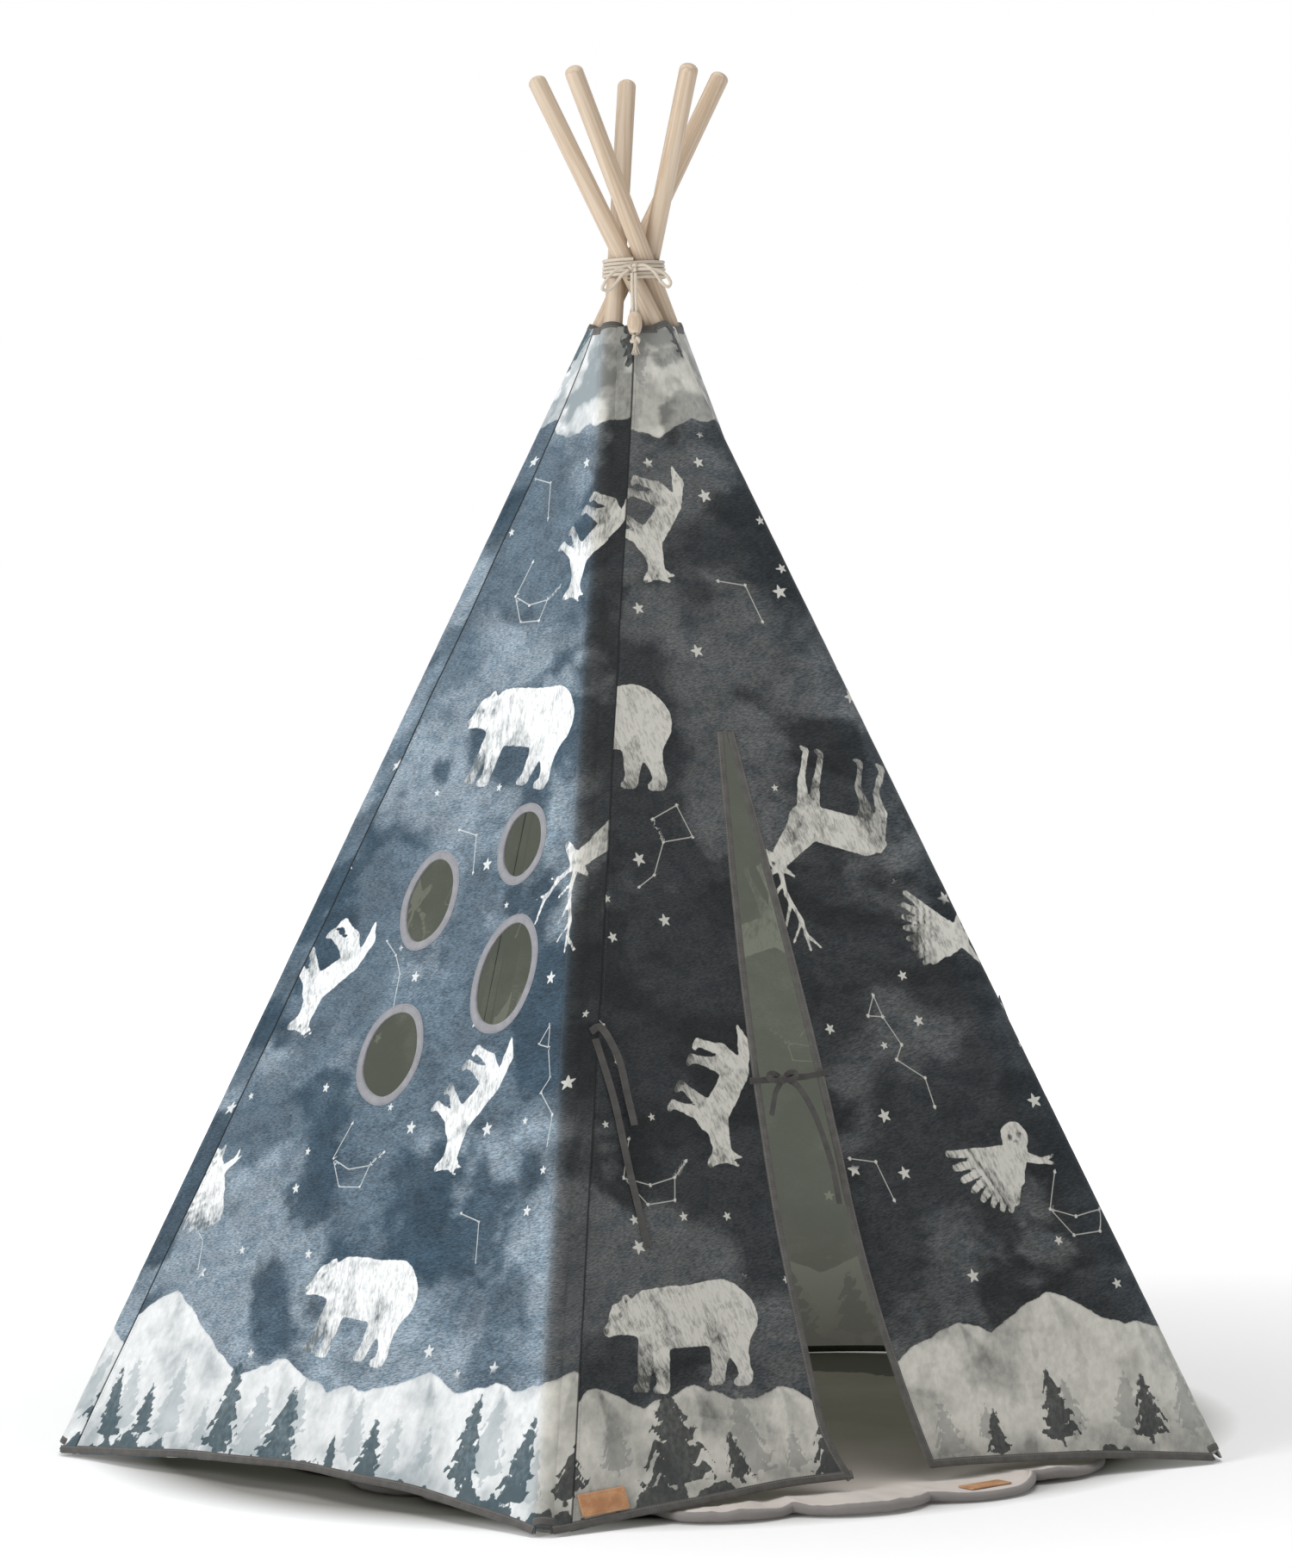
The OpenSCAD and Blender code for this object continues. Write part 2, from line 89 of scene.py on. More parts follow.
CORNER = CLOTH_OFF * radians(72)     # cloth round a pole, between two panels
SEAM = 0.024                         # from a pole's axis to the seam beside its sleeve
PANEL_GAP = 0.0005                   # from a panel's right edge to the next pole's axis
FLAP_GAP = 0.0012                    # from a flap's canvas to the outside of its binding
LEAST_CUT = 0.305                    # the smallest share of a flat sheet that its cut may be
WINDOWS = [(0.104, 0.716, 0.084, 0.092, 0), (-0.034, 0.648, 0.09, 0.113, -6),
           (0.132, 0.572, 0.108, 0.132, -6), (-0.029, 0.476, 0.104, 0.113, -4)]
WINDOW_TAPE = 0.009
WALLS = {1: "door", 2: "right", 3: "back_right", 4: "back_left", 5: "window"}


# ---------- places ----------

def mix(a, b, t):
    """From a at t = 0 to b at t = 1."""
    return a + (b - a) * t


def step(x, low, high):
    """0 below low, 1 above high, and smooth between them."""
    t = np.clip((x - low) / (high - low), 0, 1)
    return t * t * (3 - 2 * t)


def unit(v):
    """Vectors made one long."""
    return v / np.linalg.norm(v, axis=-1, keepdims=True)


def turn_of(n):
    """The direction in which pole n leans out."""
    return radians(-126 + 72 * (n - 1)) + TWIST


def pole_at(n, z):
    """The axis of pole n at height z, as x and y."""
    a = turn_of(n)
    out = (CROSS_Z - np.asarray(z, float)) * tan(SPLAY)
    return np.stack([out * cos(a) + CROSS_R * sin(a), out * sin(a) - CROSS_R * cos(a)], -1)


def half_width(z):
    """Half the distance between two neighbouring poles' axes at height z."""
    return np.linalg.norm(pole_at(1, z) - pole_at(2, z), axis=-1) / 2


def cloth(n, s, z, off=0.0):
    """A point of panel n, off outward from the plane of its outer face."""
    s, z, off = np.broadcast_arrays(np.asarray(s, float), np.asarray(z, float), np.asarray(off, float))
    a, b = pole_at(n, z), pole_at(n + 1, z)
    e = unit(b - a)
    out = np.stack([e[..., 1], -e[..., 0]], -1)
    p = (a + b) / 2 + e * s[..., None] + out * (CLOTH_OFF + off)[..., None]
    return np.concatenate([p, z[..., None]], -1)


def hem_z(f, n=1):
    """Height of the hem a share f of the way along panel n; the two back ones hang lower in the middle."""
    g = np.power(f, HEM_SKEW)
    rise = HEM_RISE * (BACK_HEM if n in (3, 4) else 1.0)
    return HEM_LOW + 4 * rise * g * (1 - g)


def slit(side, z):
    """The slit's edge: the left one for side -1, the right one for side 1."""
    t = (SLIT_TOP - z) / SLIT_TOP
    start, bow, full, curl, low = SLIT_SHAPE[side]
    open_by = bow * np.sin(pi / 2 * np.minimum(1, t / full))
    return start + open_by + curl * np.maximum(0, (t - low) / (1 - low)) ** 2


def fold_line(side, z):
    """The straight line that a flap swings on."""
    foot = (1 - 2 * HINGE_FOOT) * half_width(HEM_LOW)
    return side * mix(0.004, foot, (SLIT_TOP - z) / (SLIT_TOP - HEM_LOW))


def across_of(n):
    """The level direction along panel n, from its left pole to its right one."""
    return (*unit(pole_at(n + 1, 0.0) - pole_at(n, 0.0)), 0.0)


def around(count):
    """That many angles, evenly all the way round."""
    return np.linspace(0, 2 * pi, count, endpoint=False)


# ---------- noise ----------

def lattice(i, j, seed):
    """A repeatable value from 0 to 1 for each corner of a grid."""
    h = (i.astype(np.int64) * 374761393 + j.astype(np.int64) * 668265263 + seed * 974634777) & 0xFFFFFFFF
    h = ((h ^ (h >> 13)) * 1274126177) & 0xFFFFFFFF
    return ((h ^ (h >> 16)) & 0xFFFF) / 65535.0


def noise(x, y, seed):
    """Smooth noise from 0 to 1, one cell to each unit."""
    x, y = np.broadcast_arrays(np.asarray(x, float), np.asarray(y, float))
    i, j = np.floor(x), np.floor(y)
    u, v = step(x - i, 0, 1), step(y - j, 0, 1)
    low = mix(lattice(i, j, seed), lattice(i + 1, j, seed), u)
    high = mix(lattice(i, j + 1, seed), lattice(i + 1, j + 1, seed), u)
    return mix(low, high, v)


def fbm(x, y, seed, octaves=4):
    """Noise in layers, each half as strong and twice as fine as the last, from 0 to 1."""
    total, share = 0.0, 0.0
    for k in range(octaves):
        total = total + noise(x * 2 ** k + 7.3 * k, y * 2 ** k - 3.1 * k, seed + k) / 2 ** k
        share += 1 / 2 ** k
    return total / share


# ---------- how the canvas hangs ----------

def hang(n, s, z):
    """How far the hung canvas stands out from the plane of panel n."""
    w = half_width(z)
    f = np.clip(s / w, -1, 1)
    g = np.clip(z / COVER_TOP, 0, 1)
    slack = (1 - f ** 2) * np.clip((COVER_TOP - z) / 0.12, 0, 1)
    sag = -0.009 * slack * np.sin(pi * g) ** 0.8
    folds = 0.0045 * slack * (1 - g) ** 3 * np.sin(s * 31 + 2.1 * n + 1.2 * np.sin(z * 9))
    # shallow creases fan out from the poles
    fan = np.sin(46 * (z + 0.55 * np.abs(s)) + 3 * fbm(s * 4, z * 4, 40 + n))
    creases = 0.0019 * fan * np.abs(f) ** 2 * (1 - f ** 4) * np.clip((COVER_TOP - z) / 0.25, 0, 1)
    ripple = 0.005 * (fbm(s * 9, z * 7, 50 + n) - 0.5) * slack
    return sag + folds + creases + ripple


def skin(n, s, z, off=0.0):
    """A point of the hung canvas of panel n, off outward from its outer face."""
    return cloth(n, s, z, hang(n, s, z) + off)


# ---------- meshes ----------

def grid_quads(rows, cols, closed=False):
    """Quads of a grid of points with that many rows and columns of points, anticlockwise from outside."""
    r, c = np.meshgrid(np.arange(rows - 1), np.arange(cols if closed else cols - 1), indexing="ij")
    d = (c + 1) % cols
    return np.stack([r * cols + c, r * cols + d, (r + 1) * cols + d, (r + 1) * cols + c], -1).reshape(-1, 4)


def make(name, points, faces, materials, face_material=None, smooth=True, crease=50, **attributes):
    """A mesh object. Attributes are arrays of three numbers, or four for a colour, to each point."""
    mesh = bpy.data.meshes.new(name)
    points = np.asarray(points, float).reshape(-1, 3).tolist()
    mesh.from_pydata(points, [], [list(map(int, f)) for f in faces])
    for m in materials:
        mesh.materials.append(m)
    if face_material is not None:
        mesh.polygons.foreach_set("material_index", np.asarray(face_material, np.int32))
    mesh.polygons.foreach_set("use_smooth", np.full(len(mesh.polygons), smooth))
    for key, values in attributes.items():
        values = np.asarray(values, np.float32)
        if values.shape[-1] == 4:
            mesh.attributes.new(key, "FLOAT_COLOR", "POINT").data.foreach_set("color", values.ravel())
        else:
            mesh.attributes.new(key, "FLOAT_VECTOR", "POINT").data.foreach_set("vector", values.ravel())
    mesh.update()
    if smooth:
        mesh.set_sharp_from_angle(angle=radians(crease))
    obj = bpy.data.objects.new(name, mesh)
    bpy.context.scene.collection.objects.link(obj)
    return obj


def closed_sheet(outer, inner, quads):
    """Points and faces of a closed sheet between two like grids, and which faces are on its inner side."""
    count = len(outer)
    edges = np.concatenate([quads[:, [k, (k + 1) % 4]] for k in range(4)])
    code, back = edges[:, 0] * count + edges[:, 1], edges[:, 1] * count + edges[:, 0]
    rim = edges[~np.isin(code, back)]
    walls = np.stack([rim[:, 1], rim[:, 0], rim[:, 0] + count, rim[:, 1] + count], -1)
    faces = np.concatenate([quads, quads[:, ::-1] + count, walls])
    side = np.concatenate([np.zeros(len(quads)), np.ones(len(quads)), np.zeros(len(walls))]).astype(int)
    return np.concatenate([outer, inner]), faces, side


def swept(sections, closed=False):
    """Points and faces of a solid through like closed sections, with flat ends unless the path is closed."""
    rings, sides = sections.shape[0], sections.shape[1]
    faces = [list(q) for q in grid_quads(rings, sides, closed=True)]
    if closed:
        last = (rings - 1) * sides
        faces += [[last + k, last + (k + 1) % sides, (k + 1) % sides, k] for k in range(sides)]
    else:
        faces.append(list(range(sides))[::-1])
        faces.append([(rings - 1) * sides + k for k in range(sides)])
    return sections.reshape(-1, 3), faces


def joined(parts):
    """Points and faces of several solids as one."""
    points, faces, count = [], [], 0
    for part, part_faces in parts:
        faces += [[count + i for i in face] for face in part_faces]
        points.append(part)
        count += len(part)
    return np.concatenate(points), faces


def spline(points, steps):
    """A smooth path through points, with that many steps to each stretch."""
    p = np.asarray(points, float)
    path = []
    for i in range(len(p) - 1):
        a, b, c, d = p[max(i - 1, 0)], p[i], p[i + 1], p[min(i + 2, len(p) - 1)]
        for k in range(steps):
            t = k / steps
            path.append(b + t / 2 * (c - a + t * (2 * a - 5 * b + 4 * c - d + t * (3 * b - a - 3 * c + d))))
    path.append(p[-1])
    return np.array(path)


def run_along(path):
    """How far along a path each of its points is."""
    return np.concatenate([[0], np.cumsum(np.linalg.norm(np.diff(path, axis=0), axis=1))])


def even(path, gap):
    """The same path with points an even gap apart."""
    run = run_along(path)
    at = np.linspace(0, run[-1], max(2, int(round(run[-1] / gap)) + 1))
    return np.stack([np.interp(at, run, path[:, k]) for k in range(path.shape[1])], -1)


def frames_along(path):
    """Unit tangents, and unit vectors across a path that turn as little as they can."""
    t = unit(np.gradient(path, axis=0))
    side = np.array((0, 0, 1) if abs(t[0][2]) < 0.8 else (1, 0, 0), float)
    sides = []
    for v in t:
        side = unit(side - v * (side @ v))
        sides.append(side)
    return t, np.array(sides)


# ---------- printed animals ----------
# Each animal is a list of limbs in millimetres, in its own frame, facing -X: the two ends of a limb's
# middle line as x, y, x, y, and its radius at each end. Marks are dark spots: x, y, radius.

BEAR = [(-32, 16, 52, 18, 30, 35), (62, 14, 60, 12, 30, 29), (-38, 24, -8, 27, 25, 23),
        (-42, 18, -66, 21, 24, 18), (-74, 22, -75, 21, 16, 15), (-80, 16, -94, 9, 11, 6),
        (-66, 38, -65, 42, 6, 4), (-36, 0, -41, -46, 14, 8), (-42, -54, -51, -56, 7, 4.5),
        (-48, -2, -64, -44, 12, 7), (-66, -52, -75, -53, 6, 4), (62, 0, 60, -26, 20, 11),
        (60, -26, 64, -50, 10, 8), (61, -55, 51, -57, 7, 4.5), (42, -4, 30, -46, 15, 8),
        (28, -52, 19, -54, 6.5, 4)]
BEAR_MARKS = [(-76, 25, 1.9), (-98, 8, 3.2), (-65, 40, 1.8)]
WOLF = [(-22, 6, 34, 9, 14, 12), (-24, 3, -20, 2, 16, 14), (-26, 11, -43, 25, 13, 10),
        (-48, 29, -49, 28, 10, 9), (-54, 26, -66, 22, 7, 3.6), (-45, 37, -41, 48, 4, 1),
        (-51, 38, -50, 48, 3.4, 1), (-27, -4, -35, -34, 7.5, 4), (-35, -36, -42, -38, 4, 2.8),
        (-18, -4, -14, -36, 7.5, 4), (-14, -38, -21, -39, 4, 2.8), (35, 5, 43, -13, 12, 6.5),
        (43, -13, 35, -38, 6, 3.8), (35, -39, 28, -40, 4, 2.8), (30, 3, 26, -15, 11, 6.5),
        (26, -15, 17, -37, 6, 3.8), (17, -38, 10, -39, 4, 2.8), (43, 13, 62, 4, 5, 6.5),
        (62, 4, 74, -9, 6.5, 1.6)]
WOLF_MARKS = [(-53, 31, 1.6), (-68.5, 22.5, 2.2)]
DEER = [(-30, 0, 34, 2, 20, 21), (-36, 2, -34, 0, 21, 20), (-40, 12, -62, 46, 18, 12),
        (-68, 56, -70, 55, 10, 9), (-74, 54, -93, 46, 8, 4.6), (-60, 62, -47, 67, 3.6, 1.4),
        (-38, -14, -44, -46, 9, 4.4), (-44, -46, -40, -80, 4, 3), (-40, -82, -46, -84, 3.4, 2.4),
        (-28, -14, -26, -48, 8, 4.2), (-26, -48, -22, -80, 4, 3), (-22, -82, -28, -84, 3.4, 2.4),
        (43, -1, 54, -30, 17, 7), (54, -30, 46, -52, 6, 3.8), (46, -52, 51, -82, 3.8, 3),
        (50, -83, 44, -85, 3.4, 2.4), (36, -4, 34, -34, 15, 6.5), (34, -34, 24, -54, 6, 3.6),
        (24, -54, 26, -82, 3.6, 3), (25, -83, 19, -85, 3.4, 2.4), (54, 12, 61, 3, 4, 2),
        (-64, 65, -56, 90, 2.9, 2.5), (-56, 90, -36, 116, 2.5, 2.2), (-36, 116, -24, 146, 2.2, 1.2),
        (-60, 78, -73, 100, 2.2, 1.1), (-50, 98, -55, 126, 2.2, 1.1), (-36, 116, -45, 142, 2.1, 1.1),
        (-30, 130, -12, 140, 2, 1), (-71, 65, -86, 84, 2.9, 2.5), (-86, 84, -97, 112, 2.5, 2),
        (-97, 112, -94, 138, 2, 1.1), (-82, 79, -98, 86, 2.2, 1.1), (-93, 102, -110, 114, 2.1, 1.1)]
DEER_MARKS = [(-73, 58, 1.7), (-96, 45, 2.6)]
OWL = [(18, 22, 19, 21, 15, 14), (13, 8, 2, -16, 14, 10), (0, -18, -10, -36, 8, 6),
       (24, -2, 38, -9, 5, 3), (38, -9, 52, -7, 2.4, 1.4), (38, -9, 49, -15, 2.4, 1.4)]
OWL += [(2, 10 - 2 * k, 2 + (66 - 3 * k) * cos(radians(166 + 11 * k)),
         10 - 2 * k + (66 - 3 * k) * sin(radians(166 + 11 * k)), 7, 3.3) for k in range(8)]
OWL_MARKS = [(13, 23, 2.6), (24, 23, 2.6), (18.5, 16, 1.8)]
MOON = [(-24, 34, -33, 14, 1, 7), (-33, 14, -33, -12, 7, 7), (-33, -12, -24, -32, 7, 1)]
FAR_LIMBS = {"bear": (9, 10, 14, 15), "wolf": (9, 10, 14, 15, 16), "deer": (9, 10, 11, 16, 17, 18, 19)}
ANIMALS = {"bear": (BEAR, BEAR_MARKS, 5), "wolf": (WOLF, WOLF_MARKS, 3), "deer": (DEER, DEER_MARKS, 2.2),
           "owl": (OWL, OWL_MARKS, 1.5), "moon": (MOON, [], 2)}

# Where they are printed on each panel: kind, s, z, turn in degrees, 1 or -1 for upside down, size.
PRINTED = {
    1: [("bear", -0.206, 0.192, 0, 1, 0.98), ("bear", -0.16, 0.838, 0, 1, 1.05),
        ("wolf", -0.106, 0.438, 52, -1, 1.12), ("wolf", -0.034, 1.078, 52, -1, 1.0),
        ("deer", 0.112, 0.722, -16, -1, 1.0), ("owl", 0.236, 0.342, 12, 1, 1.1),
        ("owl", 0.222, 0.596, -28, 1, 0.95)],
    2: [("bear", -0.15, 0.23, 0, 1, 1), ("wolf", 0.06, 0.45, 52, -1, 1.1), ("owl", -0.12, 0.62, 20, 1, 1),
        ("bear", 0.06, 0.85, 0, 1, 0.9), ("deer", 0.23, 0.64, -16, -1, 1),
        ("wolf", -0.01, 1.07, 50, -1, 0.9)],
    3: [("bear", 0.06, 0.215, 0, 1, 1), ("deer", -0.06, 0.56, -16, -1, 1), ("wolf", 0.2, 0.42, 52, -1, 1.1),
        ("owl", -0.25, 0.33, 12, 1, 1.1), ("bear", 0.04, 0.86, 0, 1, 0.9),
        ("wolf", -0.02, 1.075, 50, -1, 0.9)],
    4: [("bear", -0.1, 0.21, 0, 1, 1), ("wolf", 0.08, 0.38, 48, -1, 1.1),
        ("deer", 0.09, 0.66, -16, -1, 0.95), ("owl", -0.2, 0.42, 12, 1, 1.1),
        ("bear", -0.06, 0.9, 0, 1, 0.85), ("wolf", 0.01, 1.08, 50, -1, 0.9)],
    5: [("bear", 0.036, 0.206, 0, 1, 1), ("bear", 0.05, 0.84, 0, 1, 1.02),
        ("wolf", 0.13, 0.432, 52, -1, 1.12), ("wolf", 0.092, 1.06, 52, -1, 1),
        ("deer", 0.292, 0.735, -16, -1, 1), ("wolf", -0.176, 0.562, 38, -1, 1.1),
        ("owl", -0.276, 0.316, 60, 1, 1), ("moon", -0.246, 0.328, 0, 1, 1)],
}
# Star charts, as chains of points in millimetres
KITE = [(0, 0), (34, 14), (46, -22), (8, -26), (0, 0), (8, -26), (-12, -62), (-34, -74)]
LADLE = [(-20, 40), (2, 26), (18, 6), (24, -34)]
CUP = [(0, 46), (-16, 6), (6, -24), (40, -22), (46, 2), (64, 18), (46, 2), (14, -4), (-16, 6)]
BOOT = [(0, 30), (18, 28), (12, 52), (0, 30), (18, 28), (34, -4), (24, -20), (54, -42), (58, -74)]
TICK = [(-26, 14), (6, 8), (18, -34)]
CHARTS = {
    1: [(KITE, -0.114, 0.742), (LADLE, -0.246, 0.515), (CUP, -0.226, 0.352), (BOOT, 0.102, 0.482),
        (TICK, 0.066, 0.345), (CUP, 0.292, 0.282), (TICK, 0.058, 0.995)],
    2: [(KITE, 0.08, 0.7), (BOOT, -0.23, 0.42), (CUP, 0.25, 0.33), (TICK, 0.0, 0.96), (LADLE, -0.06, 0.35)],
    3: [(BOOT, 0.15, 0.64), (CUP, -0.14, 0.42), (KITE, 0.06, 0.4), (TICK, -0.05, 0.96)],
    4: [(KITE, -0.1, 0.64), (BOOT, 0.23, 0.46), (CUP, -0.3, 0.3), (LADLE, 0.02, 0.5), (TICK, 0.05, 0.98)],
    5: [(CUP, -0.06, 0.352), (TICK, 0.19, 0.3), (BOOT, 0.222, 0.47), (LADLE, -0.07, 0.56),
        (BOOT, -0.318, 0.296), (CUP, -0.01, 0.99), (TICK, 0.01, 0.715), (TICK, -0.02, 1.12)],
}
# Mountain peaks along the foot of each panel: s, z and how steep their sides are
PEAKS = {
    1: [(-0.328, 0.147, 0.55), (-0.215, 0.14, 0.35), (-0.11, 0.132, 0.5), (0.126, 0.178, 0.42),
        (0.248, 0.203, 0.52), (0.35, 0.165, 0.5)],
    2: [(-0.3, 0.17, 0.5), (-0.12, 0.15, 0.4), (0.06, 0.2, 0.55), (0.24, 0.15, 0.4), (0.38, 0.16, 0.4)],
    3: [(-0.33, 0.19, 0.5), (-0.18, 0.14, 0.4), (0.0, 0.16, 0.4), (0.19, 0.205, 0.55), (0.34, 0.15, 0.4)],
    4: [(-0.3, 0.15, 0.4), (-0.16, 0.2, 0.55), (0.04, 0.15, 0.4), (0.22, 0.185, 0.5), (0.37, 0.15, 0.4)],
    5: [(-0.285, 0.2, 0.62), (-0.205, 0.15, 0.5), (-0.065, 0.14, 0.35), (0.06, 0.128, 0.4),
        (0.18, 0.152, 0.42), (0.3, 0.15, 0.3), (0.4, 0.165, 0.3)],
}
TOP_PEAKS = [(-0.08, 0.178, 0.3), (-0.01, 0.196, 0.45), (0.06, 0.18, 0.35)]
BAND_TOP = 1.372                     # height at which the upside-down landscape would have its ground
TOP_SHIFT = {1: -0.02, 2: 0.3, 3: 0.15, 4: -0.2, 5: 0.04}


def limb_depth(x, y, limb):
    """How far a point lies outside a limb: below 0 inside it."""
    ax, ay, bx, by, ra, rb = (v * 0.001 for v in limb)
    dx, dy = bx - ax, by - ay
    t = np.clip(((x - ax) * dx + (y - ay) * dy) / (dx * dx + dy * dy + 1e-12), 0, 1)
    return np.hypot(x - ax - t * dx, y - ay - t * dy) - mix(ra, rb, t)


def smooth_min(a, b, k):
    """The smaller of two values, rounded off where they are within k."""
    h = np.clip(0.5 + 0.5 * (b - a) / k, 0, 1)
    return mix(b, a, h) - k * h * (1 - h)


def animal_layer(n, s, z):
    """Distance outside the nearest animal of panel n, and how light its paint is there."""
    nearest, paint = np.full(s.shape, 0.1), np.full(s.shape, 0.85)
    for k, (kind, ps, pz, turn, way, size) in enumerate(PRINTED[n]):
        limbs, marks, blend = ANIMALS[kind]
        c, d = cos(radians(turn)), sin(radians(turn))
        x = ((s - ps) * c + (z - pz) * d) / size
        y = (-(s - ps) * d + (z - pz) * c) / size * way
        near = np.hypot(x, y) < 0.2
        if not near.any():
            continue
        x, y = x[near], y[near]
        depth, first, behind = np.full(x.shape, 0.1), np.full(x.shape, 0.1), np.zeros(x.shape)
        for number, limb in enumerate(limbs):
            apart = limb_depth(x, y, limb)
            behind = np.where(apart < first, float(number in FAR_LIMBS.get(kind, ())), behind)
            first = np.minimum(first, apart)
            depth = smooth_min(depth, apart, blend * 0.001)
        depth = depth + 0.0016 * (fbm(x * 150 + y * 60, y * 150, 90 + k, 2) - 0.5)
        # washes pool under the belly, in the legs and along one side, and strokes run down the coat
        wash = fbm(x * 26, y * 26, 70 + k, 3)
        light = 1.02 - 0.5 * step(wash - y * 4.0, 0.5, 0.86) - 0.3 * behind
        coat = fbm(x * 170 + y * 70, y * 42 - x * 20, 60 + k, 2)
        light -= 0.4 * step(coat, 0.52, 0.7) * step(-x, -0.012, 0.034)
        light -= 0.26 * step(fbm(x * 60, y * 90, 50 + k, 2), 0.55, 0.75)
        if kind == "owl":
            light -= 0.45 * step(np.sin(x * 760 + 200 * y), 0.2, 0.9) * step(-x, 0.0, 0.03)
        for mx, my, r in marks:
            reach = np.hypot(x - mx * 0.001, y - my * 0.001)
            light = mix(light, 0.06, step(-reach, -r * 0.0016, -r * 0.0007))
        depth = depth * size
        closer = depth < nearest[near]
        nearest[near] = np.where(closer, depth, nearest[near])
        paint[near] = np.where(closer, light, paint[near])
    return nearest, paint


def chart_layer(n, s, z):
    """Panel n's star charts: signed distance across the nearest line, distance to it, and to a dot."""
    over, near, dot = np.full(s.shape, 0.05), np.full(s.shape, 0.05), np.full(s.shape, 0.05)
    for chain, ps, pz in CHARTS[n]:
        pts = [(ps + x * 0.001, pz + y * 0.001) for x, y in chain]
        for (ax, ay), (bx, by) in zip(pts, pts[1:]):
            dx, dy = bx - ax, by - ay
            run = math.hypot(dx, dy)
            t = np.clip(((s - ax) * dx + (z - ay) * dy) / run ** 2, 0, 1)
            gap = np.hypot(s - ax - t * dx, z - ay - t * dy)
            across = ((s - ax) * dy - (z - ay) * dx) / run
            over = np.where(gap < near, across, over)
            near = np.minimum(near, gap)
        for px, py in pts:
            dot = np.minimum(dot, np.hypot(s - px, z - py))
    return over, near, dot


def ridge(u, peaks, seed, rough=0.01):
    """Height of a mountain skyline."""
    top = np.full(u.shape, -1.0)
    for s, z, steep in peaks:
        top = np.maximum(top, z - steep * np.sqrt((u - s) ** 2 + 0.00008))
    low = 0.086 + 0.03 * noise(u * 9, 0 * u, seed + 5)
    top = smooth_min(-top, -low, 0.012)
    return -top + rough * (fbm(u * 42, 0 * u, seed, 3) - 0.5)


def pines(u, h, seed, gap, size, ground, spread):
    """Distance outside a row of pine trees."""
    depth = np.full(u.shape, 0.05)
    count = int(1.3 / gap)
    rng = np.random.default_rng(seed)
    for k in range(count):
        x0 = -0.65 + (k + rng.uniform(-0.3, 0.3)) * gap
        tall = size * rng.uniform(0.5, 1.22)
        foot = ground + rng.uniform(-spread, spread)
        fat = rng.uniform(0.85, 1.2)
        wave = rng.uniform(0, 1)
        near = np.abs(u - x0) < tall * 0.5
        if not near.any():
            continue
        x, y = u[near] - x0, (h[near] - foot) / tall
        lean = 0.03 * tall * np.sin(3 * y + 6 * wave)
        tiers = (y * 5.2 + wave + 1.3 * np.abs(x) / tall + 0.35 * np.sin(60 * wave + 25 * x / tall)) % 1
        wide = 0.42 * fat * tall * np.clip(1.02 - y, 0, 1) ** 0.8 * (0.28 + 0.74 * (1 - tiers) ** 0.8)
        wide = np.where(y < 0.1, 0.035 * tall, wide)
        frill = fbm(u[near] * 110, h[near] * 210, seed + k, 3) - 0.5
        wide = wide + 0.13 * tall * frill * np.clip(1.1 - y, 0, 1)
        wide = np.maximum(wide, 0.012 * tall)
        d = np.maximum(0.75 * (np.abs(x - lean) - wide), tall * (y - 1))
        depth[near] = np.minimum(depth[near], np.maximum(d, -tall * (y + 0.02)))
    return depth


def print_layers(n, s, z, from_pole):
    """The printed picture at points of panel n, with its painted light and shade, as arrays to paint from.
    """
    layers = picture(n, s, z, half_width(z))
    layers["place"] = np.stack([s + 2.0 * n, z, from_pole], -1)
    return layers


# Painted light and shade: the sky's colours as a lit copy and a shaded copy, mixed by each panel's lit share
NIGHT_LIT = {"pale": (0.255, 0.312, 0.36), "mid": (0.096, 0.136, 0.173), "deep": (0.021, 0.049, 0.076)}
SHADE = {"pale": (0.098, 0.102, 0.103), "mid": (0.029, 0.032, 0.034), "deep": (0.013, 0.015, 0.016)}
LIT = {1: 0.0, 2: 0.12, 3: 0.5, 4: 0.7, 5: 1.0}     # how much of the lit copy of its colours each panel takes: painted light and shade, full on the window panel in daylight, none on the door panel in shade
